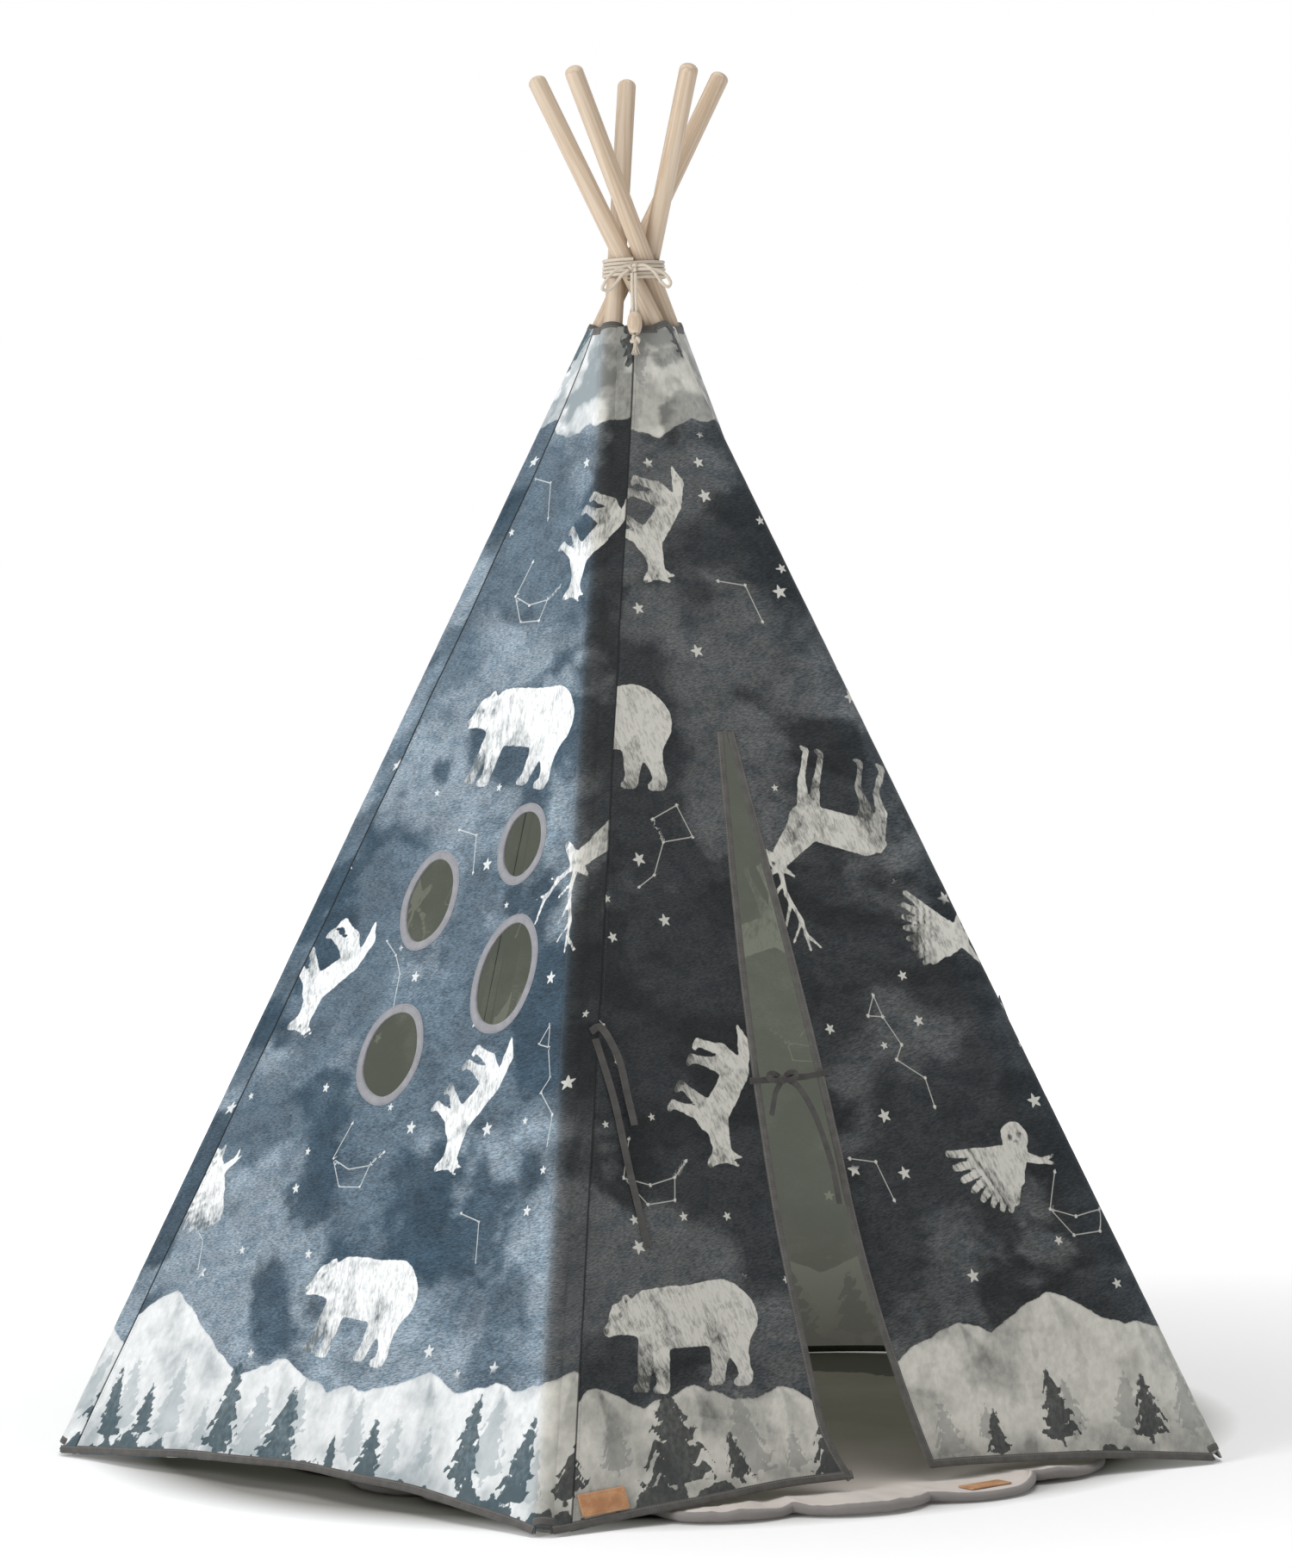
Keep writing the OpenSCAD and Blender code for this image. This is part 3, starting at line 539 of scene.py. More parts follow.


def picture(n, s, z, w):
    """The watercolour of panel n at points (s, z), where the panel is w wide to each side, with painted
    light and shade mixed in by its lit share.
    """
    # painted light and shade: the lit share blends into the next panel's across the corner, and the window
    # panel takes the door's shade just before pole 1
    lit = mix(LIT[n], LIT[n % 5 + 1], step(s, w - 0.055, w + 0.006))
    lit = np.where(n == 5, mix(1.0, LIT[1], step(s, w - 0.012, w + 0.01)), lit)
    seed = 11 * n
    # night sky: broad watercolour blooms, drawn out level
    warp = 0.06 * (fbm(s * 8, z * 8, seed + 1) - 0.5)
    bloom = fbm((s + warp) * 7.0, (z + warp) * 10.5, seed + 2, 5) + 0.13 * step(-z, -0.42, -0.16)
    pool = fbm((s - warp) * 9.0 + 9, (z + warp) * 12.0, seed + 3, 5) - 0.04 * step(-z, -0.42, -0.16)
    haze = fbm(s * 22, z * 34, seed + 6, 3)
    sky = []
    for k in range(3):
        pale, mid, deep = (mix(SHADE[c][k], NIGHT_LIT[c][k], lit) for c in ("pale", "mid", "deep"))
        tone = mix(mid, pale, 0.8 * step(bloom, 0.5, 0.68))
        tone = mix(tone, deep, 0.85 * step(pool, 0.52, 0.64))
        sky.append(tone * (0.68 + 0.64 * haze))
    # mountains stand along the foot, and hang upside down from the neck
    flip = z > 0.78
    u = np.where(flip, TOP_SHIFT[n] - s, s)
    h = np.where(flip, BAND_TOP - z, z)
    skyline = np.where(flip, ridge(s, TOP_PEAKS, seed + 60, 0.016), ridge(s, PEAKS[n], seed + 50))
    far = h - skyline
    hills = 0.098 + 0.03 * (fbm(u * 7, 0 * u, seed + 52, 3) - 0.5) + 0.016 * np.sin(u * 23 + n)
    near = h - hills
    fall = np.sin(u * 38 + 14 * fbm(u * 9, h * 9, seed + 53, 3))
    wash = 0.93 - 0.34 * step(fbm(u * 16 + h * 9, h * 24 - u * 5, seed + 54, 4) + 0.1 * fall, 0.46, 0.72)
    wash -= 0.14 * step(fbm(u * 55, h * 42, seed + 55, 3), 0.55, 0.6)
    wash -= 0.62 * step(-h, -0.082, -0.02) * step(fbm(u * 24, h * 30, seed + 56, 3), 0.3, 0.62)
    wash -= flip * 0.62 * step(fbm(u * 17, h * 24, seed + 59, 4), 0.44, 0.56)
    for peak, top, steep in PEAKS[n]:
        drop = np.maximum(top - h, 0.0001)
        bend = 0.45 * drop * (fbm(h * 26, 0 * h + peak, seed + 57, 3) - 0.4)
        beside = u - peak - bend
        reach = drop / (steep + 0.55)
        facet = step(beside, 0.0, 0.004) * step(-beside, -0.95 * reach, -0.45 * reach)
        facet = facet * (h < top) * ~flip
        wash -= 0.4 * facet * step(-drop, -0.085, -0.02) * (0.45 + 0.9 * fbm(u * 60, h * 30, seed + 58, 3))
    back_row = pines(u, h, seed + 31, 0.08, 0.078, 0.04, 0.016)
    front_row = pines(u, h, seed + 32, 0.1, 0.094, 0.028, 0.012)
    scrub = h - 0.022 - 0.06 * (fbm(u * 24, 0 * u + 3, seed + 33, 4) - 0.5)
    scrub = scrub - 0.03 * (fbm(u * 70, h * 70, seed + 34, 3) - 0.5)
    front_row = np.minimum(front_row, scrub)
    mist = fbm(u * 30, h * 30, seed + 35, 3) * 0.75 + 0.35 * step(h, 0.0, 0.12)
    beast, paint = animal_layer(n, s, z)
    open_sky = step(np.minimum(far, beast), 0.012, 0.022)
    over, gap, dot = chart_layer(n, s, z)
    open_sky = open_sky * step(gap, 0.006, 0.012)
    # the sky's alpha carries the lit share, for the painted light and shade of the other colours
    return {
        "sky": np.stack([*sky, lit], -1),
        "ranges": np.stack([far, near, wash], -1),
        "woods": np.stack([back_row, front_row, mist], -1),
        "beasts": np.stack([beast, paint, open_sky], -1),
        "charts": np.stack([over, gap, dot], -1),
    }


# ---------- shader nodes ----------

class Shader:
    """A material with its Principled shader, and short names for the nodes used here."""

    def __init__(self, name, **inputs):
        self.material = bpy.data.materials.new(name)
        self.material.use_nodes = True
        self.tree = self.material.node_tree
        self.surface = self.tree.nodes["Principled BSDF"]
        self.principled(**inputs)

    def put(self, socket, value):
        if isinstance(value, bpy.types.NodeSocket):
            self.tree.links.new(value, socket)
        elif isinstance(value, tuple) and len(value) == 3 and socket.type == "RGBA":
            socket.default_value = (*value, 1.0)
        else:
            socket.default_value = value

    def node(self, kind, inputs=(), **settings):
        node = self.tree.nodes.new(kind)
        for key, value in settings.items():
            setattr(node, key, value)
        for key, value in dict(inputs).items():
            self.put(node.inputs[key], value)
        return node

    def math(self, operation, a, b=0.0, c=0.0, clamp=False):
        given = {0: a, 1: b, 2: c}
        return self.node("ShaderNodeMath", given, operation=operation, use_clamp=clamp).outputs[0]

    def times(self, a, b):
        return self.math("MULTIPLY", a, b)

    def plus(self, a, b):
        return self.math("ADD", a, b)

    def size_of(self, a):
        return self.math("ABSOLUTE", a)

    def minus(self, a, b):
        return self.math("SUBTRACT", a, b)

    def principled(self, **inputs):
        for key, value in inputs.items():
            self.put(self.surface.inputs[key.replace("_", " ")], value)

    def ramp(self, value, low, high, to_low=0.0, to_high=1.0):
        kind = {"Value": value, "From Min": low, "From Max": high, "To Min": to_low, "To Max": to_high}
        return self.node("ShaderNodeMapRange", kind).outputs[0]

    def blend(self, share, a, b, how="MIX"):
        node = self.node("ShaderNodeMix", data_type="RGBA", blend_type=how)
        for key, value in ((0, share), (6, a), (7, b)):
            self.put(node.inputs[key], value)
        return node.outputs[2]

    def attribute(self, name):
        return self.node("ShaderNodeAttribute", attribute_name=name).outputs["Vector"]

    def split(self, vector):
        return self.node("ShaderNodeSeparateXYZ", {0: vector}).outputs

    def scaled(self, vector, x, y, z=1.0):
        return self.node("ShaderNodeVectorMath", {0: vector, 1: (x, y, z)}, operation="MULTIPLY").outputs[0]

    def noise(self, vector, scale, detail=2.0, rough=0.5, bend=0.0):
        given = {"Vector": vector, "Scale": scale, "Detail": detail, "Roughness": rough, "Distortion": bend}
        return self.node("ShaderNodeTexNoise", given).outputs["Fac"]

    def bump(self, height, distance, strength=1.0):
        given = {"Height": height, "Distance": distance, "Strength": strength}
        self.put(self.surface.inputs["Normal"], self.node("ShaderNodeBump", given).outputs[0])

    def colour(self, value):
        self.put(self.surface.inputs["Base Color"], value)


def stitches(sh, along, across, at, pitch=0.0032, length=0.62, width=0.00035):
    """1 on the dashes of a line of stitches that runs at a set distance across, and 0 off them."""
    run = sh.math("FRACT", sh.math("DIVIDE", along, pitch))
    dash = sh.math("LESS_THAN", run, length)
    gap = sh.size_of(sh.minus(across, at))
    return sh.times(dash, sh.math("LESS_THAN", gap, width))


def weave(sh, place, pitch):
    """Height of a plain weave with that distance between threads."""
    x, y, _ = sh.split(place)
    warp = sh.math("SINE", sh.times(x, 2 * pi / pitch))
    weft = sh.math("SINE", sh.times(y, 2 * pi / pitch))
    return sh.times(warp, weft)


GLOW = 0.85                          # how strongly the canvas's inner face glows: painted light for the daylight that comes through


def canvas_material(inside):
    """Printed cotton canvas: its outer face, or its inner face, where the print shows through faintly as a
    painted glow.
    """
    sh = Shader("canvas_inside" if inside else "canvas_outside", Roughness=0.86)
    place = sh.attribute("place")
    _, z, from_pole = sh.split(place)
    sky = sh.node("ShaderNodeAttribute", attribute_name="sky")
    lit = sky.outputs["Alpha"]
    far, near, wash = sh.split(sh.attribute("ranges"))
    back_row, front_row, mist = sh.split(sh.attribute("woods"))
    beast, paint, open_sky = sh.split(sh.attribute("beasts"))
    over, gap, dot = sh.split(sh.attribute("charts"))
    # paint edges wander a little, as they do in watercolour
    wander = sh.minus(sh.noise(place, 160.0, 3.0, 0.6), 0.5)

    def inside_of(depth, sway, soft=0.0006):
        """1 where a distance is below 0, with an edge that wanders by that much."""
        moved = sh.math("MULTIPLY_ADD", wander, sway, depth)
        return sh.ramp(moved, soft, -soft)

    slanted = sh.node("ShaderNodeMapping", {"Vector": place, "Rotation": (0.0, 0.0, -0.22)}).outputs[0]
    flecks = sh.noise(sh.scaled(slanted, 190.0, 900.0), 1.0, 3.0, 0.62)
    smudge = sh.noise(sh.scaled(slanted, 38.0, 62.0), 1.0, 4.0, 0.6)
    colour = sh.blend(1.0, sky.outputs["Color"], sh.ramp(flecks, 0.36, 0.66, 0.52, 1.58), "MULTIPLY")
    colour = sh.blend(sh.ramp(smudge, 0.5, 0.58, 0.0, 0.55), colour,
                      sh.blend(1.0, colour, (0.52, 0.62, 0.68), "MULTIPLY"))
    # painted light and shade: each colour below comes as a shaded copy and a lit copy, mixed by the lit
    # share
    snow = sh.blend(lit, (0.6, 0.585, 0.525), (0.83, 0.84, 0.835))
    slate = sh.blend(lit, (0.15, 0.151, 0.138), (0.27, 0.315, 0.335))
    fine = sh.ramp(sh.noise(place, 95.0, 4.0, 0.62), 0.35, 0.7, -0.16, 0.1)
    rock = sh.blend(sh.math("ADD", wash, fine, clamp=True), slate, snow)
    rock_edge = sh.times(sh.ramp(far, -0.0026, -0.0004), 0.2)
    colour = sh.blend(inside_of(far, 0.003), colour, sh.blend(rock_edge, rock, slate))
    hill = sh.blend(0.2, rock, snow)
    colour = sh.blend(sh.times(inside_of(near, 0.006), 0.75), colour, hill)
    # the pines' colours too, in shaded and lit copies: painted light and shade
    pale_pine = sh.blend(lit, (0.18, 0.184, 0.174), (0.26, 0.32, 0.345))
    dark_pine = sh.blend(lit, (0.028, 0.032, 0.032), (0.034, 0.068, 0.084))
    wet_pine = sh.blend(lit, (0.088, 0.094, 0.09), (0.125, 0.175, 0.2))
    needles = sh.ramp(sh.noise(place, 130.0, 3.0, 0.65), 0.4, 0.66)
    colour = sh.blend(sh.times(inside_of(back_row, 0.012), 0.5), colour, pale_pine)
    pine = sh.blend(sh.times(sh.ramp(mist, 0.3, 0.75), needles), dark_pine, wet_pine)
    colour = sh.blend(sh.times(inside_of(front_row, 0.01), 0.94), colour, pine)
    # the animals' colours too, in shaded and lit copies: painted light and shade
    coat = sh.blend(lit, (0.57, 0.558, 0.505), (0.85, 0.86, 0.855))
    shadow = sh.blend(lit, (0.07, 0.071, 0.066), (0.135, 0.165, 0.18))
    strokes = sh.noise(sh.scaled(slanted, 330.0, 105.0), 1.0, 4.0, 0.65, 0.6)
    strokes = sh.ramp(strokes, 0.38, 0.56, -0.34, 0.14)
    fur = sh.blend(sh.math("ADD", paint, strokes, clamp=True), shadow, coat)
    colour = sh.blend(inside_of(beast, 0.002, 0.0004), colour, fur)
    # star charts: fine lines with dots at their corners
    line = sh.times(sh.ramp(sh.size_of(over), 0.0008, 0.0004), sh.ramp(gap, 0.0034, 0.0028))
    line = sh.times(line, 0.72)
    dots = sh.ramp(dot, 0.0025, 0.0019)
    charts = sh.times(sh.math("MAXIMUM", line, dots), sh.ramp(beast, 0.0, 0.002))
    # five-pointed stars, one to some of the cells of a wide mesh
    cell = sh.node("ShaderNodeTexVoronoi", {"Vector": place, "Scale": 17.0, "Randomness": 0.95},
                   voronoi_dimensions="2D")
    chance, bigness, tilt = sh.split(cell.outputs["Color"])
    given = {0: place, 1: cell.outputs["Position"]}
    lx, ly, _ = sh.split(sh.node("ShaderNodeVectorMath", given, operation="SUBTRACT").outputs[0])
    reach = sh.math("SQRT", sh.plus(sh.times(lx, lx), sh.times(ly, ly)))
    turn = sh.plus(sh.math("DIVIDE", sh.math("ARCTAN2", lx, ly), 2 * pi / 5), sh.times(tilt, 0.3))
    spike = sh.size_of(sh.math("MULTIPLY_ADD", sh.math("FRACT", turn), 2.0, -1.0))
    edge = sh.ramp(sh.math("POWER", spike, 1.6), 0.0, 1.0, 0.44, 1.0)
    size = sh.times(edge, sh.ramp(bigness, 0.0, 1.0, 0.004, 0.0088))
    star = sh.ramp(sh.minus(reach, size), 0.0004, -0.0004)
    stars = sh.times(sh.times(star, sh.math("GREATER_THAN", chance, 0.62)), open_sky)
    # the stars' colour too, in a shaded and a lit copy: painted light and shade
    bright = sh.blend(lit, (0.56, 0.55, 0.5), (0.72, 0.74, 0.735))
    colour = sh.blend(sh.times(sh.math("MAXIMUM", charts, stars), 0.92), colour, bright)
    # the seam beside each sleeve, and the line of stitches that holds it
    seam = sh.ramp(sh.size_of(sh.minus(from_pole, SEAM)), 0.0016, 0.0007)
    colour = sh.blend(sh.times(seam, 0.85), colour, (0.012, 0.013, 0.014))
    thread = stitches(sh, z, from_pole, SEAM + 0.0045)
    colour = sh.blend(sh.times(thread, 0.5), colour, (0.06, 0.066, 0.07))
    cloth_height = sh.plus(sh.times(weave(sh, place, 0.0011), 0.16), flecks)
    cloth_height = sh.minus(cloth_height, sh.times(seam, 2.5))
    sh.bump(cloth_height, 0.0004, 0.55)
    if inside:
        # the back of the print, in olive grey, with a painted glow: emission stands in for the daylight that
        # comes through, and painted shade darkens it towards the floor
        light = sh.node("ShaderNodeRGBToBW", {0: colour}).outputs[0]
        olive = sh.blend(sh.ramp(light, 0.03, 0.55), (0.098, 0.106, 0.088), (0.172, 0.184, 0.15))
        olive_shaded_low = sh.blend(sh.ramp(z, 0.22, 0.02, 0.0, 0.85), olive, (0.066, 0.063, 0.054))
        sh.colour(olive_shaded_low)
        sh.principled(Emission_Color=olive_shaded_low, Emission_Strength=GLOW)
    else:
        sh.colour(colour)
        sh.principled(Sheen_Weight=0.12, Sheen_Roughness=0.5, Specular_IOR_Level=0.25)
    return sh.material


def tape_material(name, dark, light, thread=(0.2, 0.19, 0.18), width=TAPE_W, ribs=0.0009):
    """Cotton tape: ribbed across, with a line of stitches near its inner edge."""
    sh = Shader(name, Roughness=0.8, Sheen_Weight=0.15)
    place = sh.attribute("place")
    along, across, _ = sh.split(place)
    worn = sh.noise(place, 70.0, 4.0, 0.6)
    colour = sh.blend(sh.ramp(worn, 0.35, 0.68), dark, light)
    rib = sh.math("SINE", sh.times(along, 2 * pi / ribs))
    fuzz = sh.noise(place, 2200.0, 2.0, 0.6)
    colour = sh.blend(sh.ramp(fuzz, 0.35, 0.75, 0.0, 0.35), colour, light)
    sewn = stitches(sh, along, across, width - 0.0016)
    colour = sh.blend(sh.times(sewn, 0.8), colour, thread)
    height = sh.plus(sh.times(rib, 0.35), fuzz)
    sh.bump(sh.plus(height, sh.times(sewn, 1.5)), 0.00025, 0.6)
    sh.colour(colour)
    return sh.material


def wood_material(name, axis):
    """Sanded pine whose grain runs along axis."""
    sh = Shader(name, Specular_IOR_Level=0.35)
    where = sh.node("ShaderNodeTexCoord").outputs["Object"]
    turn = Vector(axis).normalized().rotation_difference(Vector((0, 0, 1))).to_euler()
    along = sh.node("ShaderNodeMapping", {"Vector": where, "Rotation": tuple(turn)}).outputs[0]
    slow = sh.scaled(along, 1.0, 1.0, 0.05)
    bent = sh.noise(slow, 55.0, 3.0, 0.55)
    rings = sh.node("ShaderNodeTexWave", {"Vector": sh.scaled(along, 1.0, 1.0, 0.03), "Scale": 95.0,
                    "Distortion": 7.0, "Detail": 3.0, "Detail Scale": 1.6}, wave_type="BANDS",
                    bands_direction="DIAGONAL").outputs["Fac"]
    fibres = sh.noise(sh.scaled(along, 1.0, 1.0, 0.02), 420.0, 3.0, 0.6)
    colour = sh.blend(sh.ramp(rings, 0.25, 0.85, 0.0, 0.75), (0.6, 0.485, 0.37), (0.48, 0.352, 0.24))
    colour = sh.blend(sh.ramp(bent, 0.42, 0.7, 0.0, 0.6), colour, (0.64, 0.54, 0.43))
    colour = sh.blend(sh.ramp(fibres, 0.5, 0.78, 0.0, 0.45), colour, (0.4, 0.285, 0.188))
    sh.colour(colour)
    sh.principled(Roughness=sh.ramp(fibres, 0.3, 0.7, 0.46, 0.62))
    sh.bump(sh.plus(fibres, sh.times(rings, 0.4)), 0.0002, 0.15)
    return sh.material


def rope_material(hidden=False):
    """Laid cotton: cream fibres, darker in the hollows between strands."""
    sh = Shader("cotton_rope_hidden" if hidden else "cotton_rope", Roughness=0.9, Sheen_Weight=0.25)
    place = sh.node("ShaderNodeTexCoord").outputs["Object"] if hidden else sh.attribute("place")
    fibres = sh.noise(sh.scaled(place, 900.0, 5200.0), 1.0, 2.0, 0.6)
    stain = sh.noise(place, 45.0, 3.0, 0.6)
    _, _, hollow = sh.split(place)
    colour = sh.blend(sh.ramp(fibres, 0.35, 0.7), (0.52, 0.44, 0.34), (0.76, 0.69, 0.59))
    colour = sh.blend(sh.ramp(stain, 0.48, 0.72, 0.0, 0.4), colour, (0.56, 0.49, 0.4))
    # darker in the hollows between strands
    colour = sh.blend(sh.ramp(hollow, 0.55, 1.0, 0.0, 0.6), colour, (0.26, 0.205, 0.15))
    sh.colour(colour)
    sh.bump(fibres, 0.0003, 0.6)
    return sh.material


def mat_material():
    """Cotton sateen of the padded mat, with painted shade along its rolled edge."""
    sh = Shader("mat_cotton", Roughness=0.72, Sheen_Weight=0.25)
    place = sh.attribute("place")
    _, _, rim = sh.split(place)
    cloud = sh.noise(place, 7.0, 4.0, 0.55)
    slub = sh.noise(sh.scaled(place, 420.0, 60.0), 1.0, 3.0, 0.6)
    colour = sh.blend(sh.ramp(cloud, 0.35, 0.68), (0.6, 0.53, 0.48), (0.69, 0.62, 0.565))
    colour = sh.blend(sh.ramp(slub, 0.45, 0.72, 0.0, 0.25), colour, (0.74, 0.68, 0.625))
    # painted shade: darker where the rolled edge turns down
    colour = sh.blend(sh.ramp(rim, 0.0075, 0.0045), colour, (0.235, 0.215, 0.205))
    run, _, _ = sh.split(sh.attribute("edge"))
    sewn = stitches(sh, run, rim, 0.01, 0.0035)
    colour = sh.blend(sh.times(sewn, 0.7), colour, (0.3, 0.27, 0.25))
    sh.colour(colour)
    sh.bump(sh.plus(weave(sh, place, 0.0009), slub), 0.0003, 0.5)
    return sh.material


def leather_material(name="tan_leather", pale=(0.56, 0.3, 0.15), dark=(0.4, 0.19, 0.085)):
    """Vegetable-tanned leather with a pebbled grain."""
    sh = Shader(name)
    where = sh.node("ShaderNodeTexCoord").outputs["Object"]
    pores = sh.node("ShaderNodeTexVoronoi", {"Vector": where, "Scale": 900.0}).outputs["Distance"]
    cloud = sh.noise(where, 60.0, 4.0, 0.6)
    sh.colour(sh.blend(sh.ramp(cloud, 0.38, 0.66), pale, dark))
    sh.principled(Roughness=sh.ramp(cloud, 0.3, 0.7, 0.42, 0.6))
    sh.bump(sh.plus(pores, cloud), 0.0003, 0.5)
    return sh.material


def steel_material():
    """Drawn steel rod: fine scratches along it."""
    sh = Shader("drawn_steel", Metallic=1.0)
    where = sh.node("ShaderNodeTexCoord").outputs["Object"]
    scratch = sh.noise(sh.scaled(where, 1.0, 1.0, 0.05), 1500.0, 3.0, 0.6)
    sh.colour(sh.blend(sh.ramp(scratch, 0.3, 0.7), (0.42, 0.42, 0.43), (0.62, 0.62, 0.63)))
    sh.principled(Roughness=sh.ramp(scratch, 0.3, 0.7, 0.28, 0.45))
    sh.bump(scratch, 0.0001, 0.3)
    return sh.material


def floor_material():
    """Pale sweep that fades to white with distance, with a painted shadow under the tent."""
    sh = Shader("studio_floor", Roughness=0.9, Specular_IOR_Level=0.1, Emission_Color=(1.0, 1.0, 1.0))
    where = sh.node("ShaderNodeTexCoord").outputs["Object"]
    away = sh.node("ShaderNodeVectorMath", {0: where}, operation="LENGTH").outputs["Value"]
    grain = sh.noise(where, 60.0, 2.0, 0.5)
    pale = sh.blend(sh.ramp(grain, 0.3, 0.7), (0.86, 0.86, 0.86), (0.88, 0.88, 0.88))
    # painted shadow: a dark disc under the tent, whose glow only starts outside it
    sh.colour(sh.blend(sh.ramp(away, 0.6, 0.69), (0.28, 0.27, 0.25), pale))
    near = sh.ramp(away, 0.6, 0.69, 0.0, 0.14)
    sh.principled(Emission_Strength=sh.plus(near, sh.ramp(away, 0.7, 3.0, 0.0, 0.6)))
    return sh.material


# ---------- pieces ----------

def outward(points, faces):
    """The faces, turned over if the solid is inside out."""
    volume = 0.0
    for face in faces:
        a = points[face[0]]
        for j, k in zip(face[1:], face[2:]):
            volume += a @ np.cross(points[j], points[k])
    return faces if volume > 0 else [face[::-1] for face in faces]


def declare(obj, body, nodes=None):
    """What a piece rides on, and which CAD nodes it takes the place of."""
    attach(obj, body)
    if nodes is not None:
        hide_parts(*nodes)
    return obj


def solid(name, points, faces, material, body, slot, nodes=None, **attributes):
    """A solid piece of one material."""
    return declare(make(name, points, outward(points, faces), [material], **attributes), body, nodes)


def gather(obj, n):
    """Gives a piece on panel n its own copy of its mesh."""
    middle = cloth(n, 0.0, 0.4)
    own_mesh(obj)
    return obj


def cover(name, n, s, z, quads, body, nodes):
    """Printed canvas through points of panel n."""
    outer, inner = skin(n, s, z), skin(n, s, z, -CANVAS)
    layers = print_layers(n, s, z, s + half_width(z))
    points, faces, side = closed_sheet(outer, inner, quads)
    doubled = {key: np.concatenate([v, v]) for key, v in layers.items()}
    obj = make(name, points, faces, [CANVAS_OUT, CANVAS_IN], side, **doubled)
    return gather(declare(obj, body, nodes), n)


def panel_grid(cols, rows, left, right, low, high):
    """Points (s, z) of part of a panel, row by row from the hem. Low and high depend on the share across."""
    f = np.linspace(0, 1, cols + 1)
    t = np.linspace(0, 1, rows + 1)[:, None]
    z = mix(low(f)[None, :], high(f)[None, :], t)
    s = mix(left(z), right(z), f[None, :])
    return s.ravel(), z.ravel(), grid_quads(rows + 1, cols + 1)


def into_window(s, z, window, inset):
    """How far towards a window's rim a point is from its middle: below 1 inside it."""
    ws, wz, width, length, lean = window
    c, d = cos(radians(lean)), sin(radians(lean))
    x, y = (s - ws) * c + (z - wz) * d, -(s - ws) * d + (z - wz) * c
    return np.hypot(x / (width / 2 - inset), y / (length / 2 - inset))


def wall_cover(n):
    """A whole panel, with its windows cut out if it has any."""
    fine = n == 5
    s, z, quads = panel_grid(
        150 if fine else 112, 300 if fine else 224,
        lambda h: SEAM - half_width(h), lambda h: half_width(h) - PANEL_GAP,
        lambda f: hem_z(f, n), lambda f: COVER_TOP + 0 * f)
    if fine:
        cut = WINDOW_TAPE * 0.5
        for window in WINDOWS:
            middle = [s[quads].mean(1), z[quads].mean(1)]
            quads = quads[into_window(*middle, window, cut) >= 1]
            edge = np.zeros(len(s), bool)
            edge[np.unique(quads)] = True
            inside = into_window(s, z, window, cut)
            move = edge & (inside < 1)
            s[move] = window[0] + (s[move] - window[0]) / inside[move]
            z[move] = window[1] + (z[move] - window[1]) / inside[move]
    name = WALLS[n]
    keep = np.unique(quads)
    quads = np.searchsorted(keep, quads)
    return cover(f"{name}_cover", n, s[keep], z[keep], quads, f"{name}_wall", [f"{name}_panel"])


SLIT_ROWS = 280
FLAP_COLS = 112


def door_cover():
    """The door panel: whole above the slit, and a strip beside each pole below it."""
    cols, above = 54, 150
    f = np.linspace(0, 1, cols + 1)
    t = np.linspace(0, 1, SLIT_ROWS + 1)[:, None]
    hems = [hem_z(f * HINGE_FOOT), hem_z(1 - (1 - f) * HINGE_FOOT)]
    z_low = [mix(h[None, :], SLIT_TOP, t) for h in hems]
    s_low = [mix(SEAM - half_width(z_low[0]), fold_line(-1, z_low[0]), f),
             mix(fold_line(1, z_low[1]), half_width(z_low[1]) - PANEL_GAP, f)]
    z_high = np.repeat(np.linspace(SLIT_TOP, COVER_TOP, above + 1)[1:, None], cols + 1, 1)
    w = half_width(z_high)
    top = np.maximum(0.0004, 0.004 * (1 - (z_high - SLIT_TOP) / 0.02))
    s_high = [mix(SEAM - w, -top, f), mix(top, w - PANEL_GAP, f)]
    s = np.concatenate([np.concatenate(s_low, 1), np.concatenate(s_high, 1)])
    z = np.concatenate([np.concatenate(z_low, 1), np.concatenate([z_high, z_high], 1)])
    rows, width = s.shape
    quads = grid_quads(rows, width)
    row, col = quads[:, 0] // width, quads[:, 0] % width
    quads = quads[~((col == cols) & (row < SLIT_ROWS))]
    return cover("door_cover", 1, s.ravel(), z.ravel(), quads, "door_wall",
                 ["door_panel", "door_side_left", "door_side_right"])


def flap_cover(side):
    """The canvas of a door flap, from its fold line to the edge of the slit."""
    edges = [lambda h: fold_line(side, h), lambda h: slit(side, h) + side * FLAP_GAP]
    s, z, quads = panel_grid(FLAP_COLS, SLIT_ROWS, *edges[::-side],
                             lambda f: hem_z(mix(*HEM_SHARES[side], f)), lambda f: SLIT_TOP + 0 * f)
    return cover(f"{FLAPS[side]}_cover", 1, s, z, quads, FLAPS[side], [FLAPS[side]])


BAND_SIDES = 48


def pole_frame(n):
    """The foot of pole n, the direction along it, and two directions across it, the first outward."""
    a = turn_of(n)
    axis = np.array([-cos(a) * sin(SPLAY), -sin(a) * sin(SPLAY), cos(SPLAY)])
    x = np.array([cos(a) * cos(SPLAY), sin(a) * cos(SPLAY), sin(SPLAY)])
    return np.array([*pole_at(n, FOOT_Z), FOOT_Z]), axis, x, np.cross(axis, x)


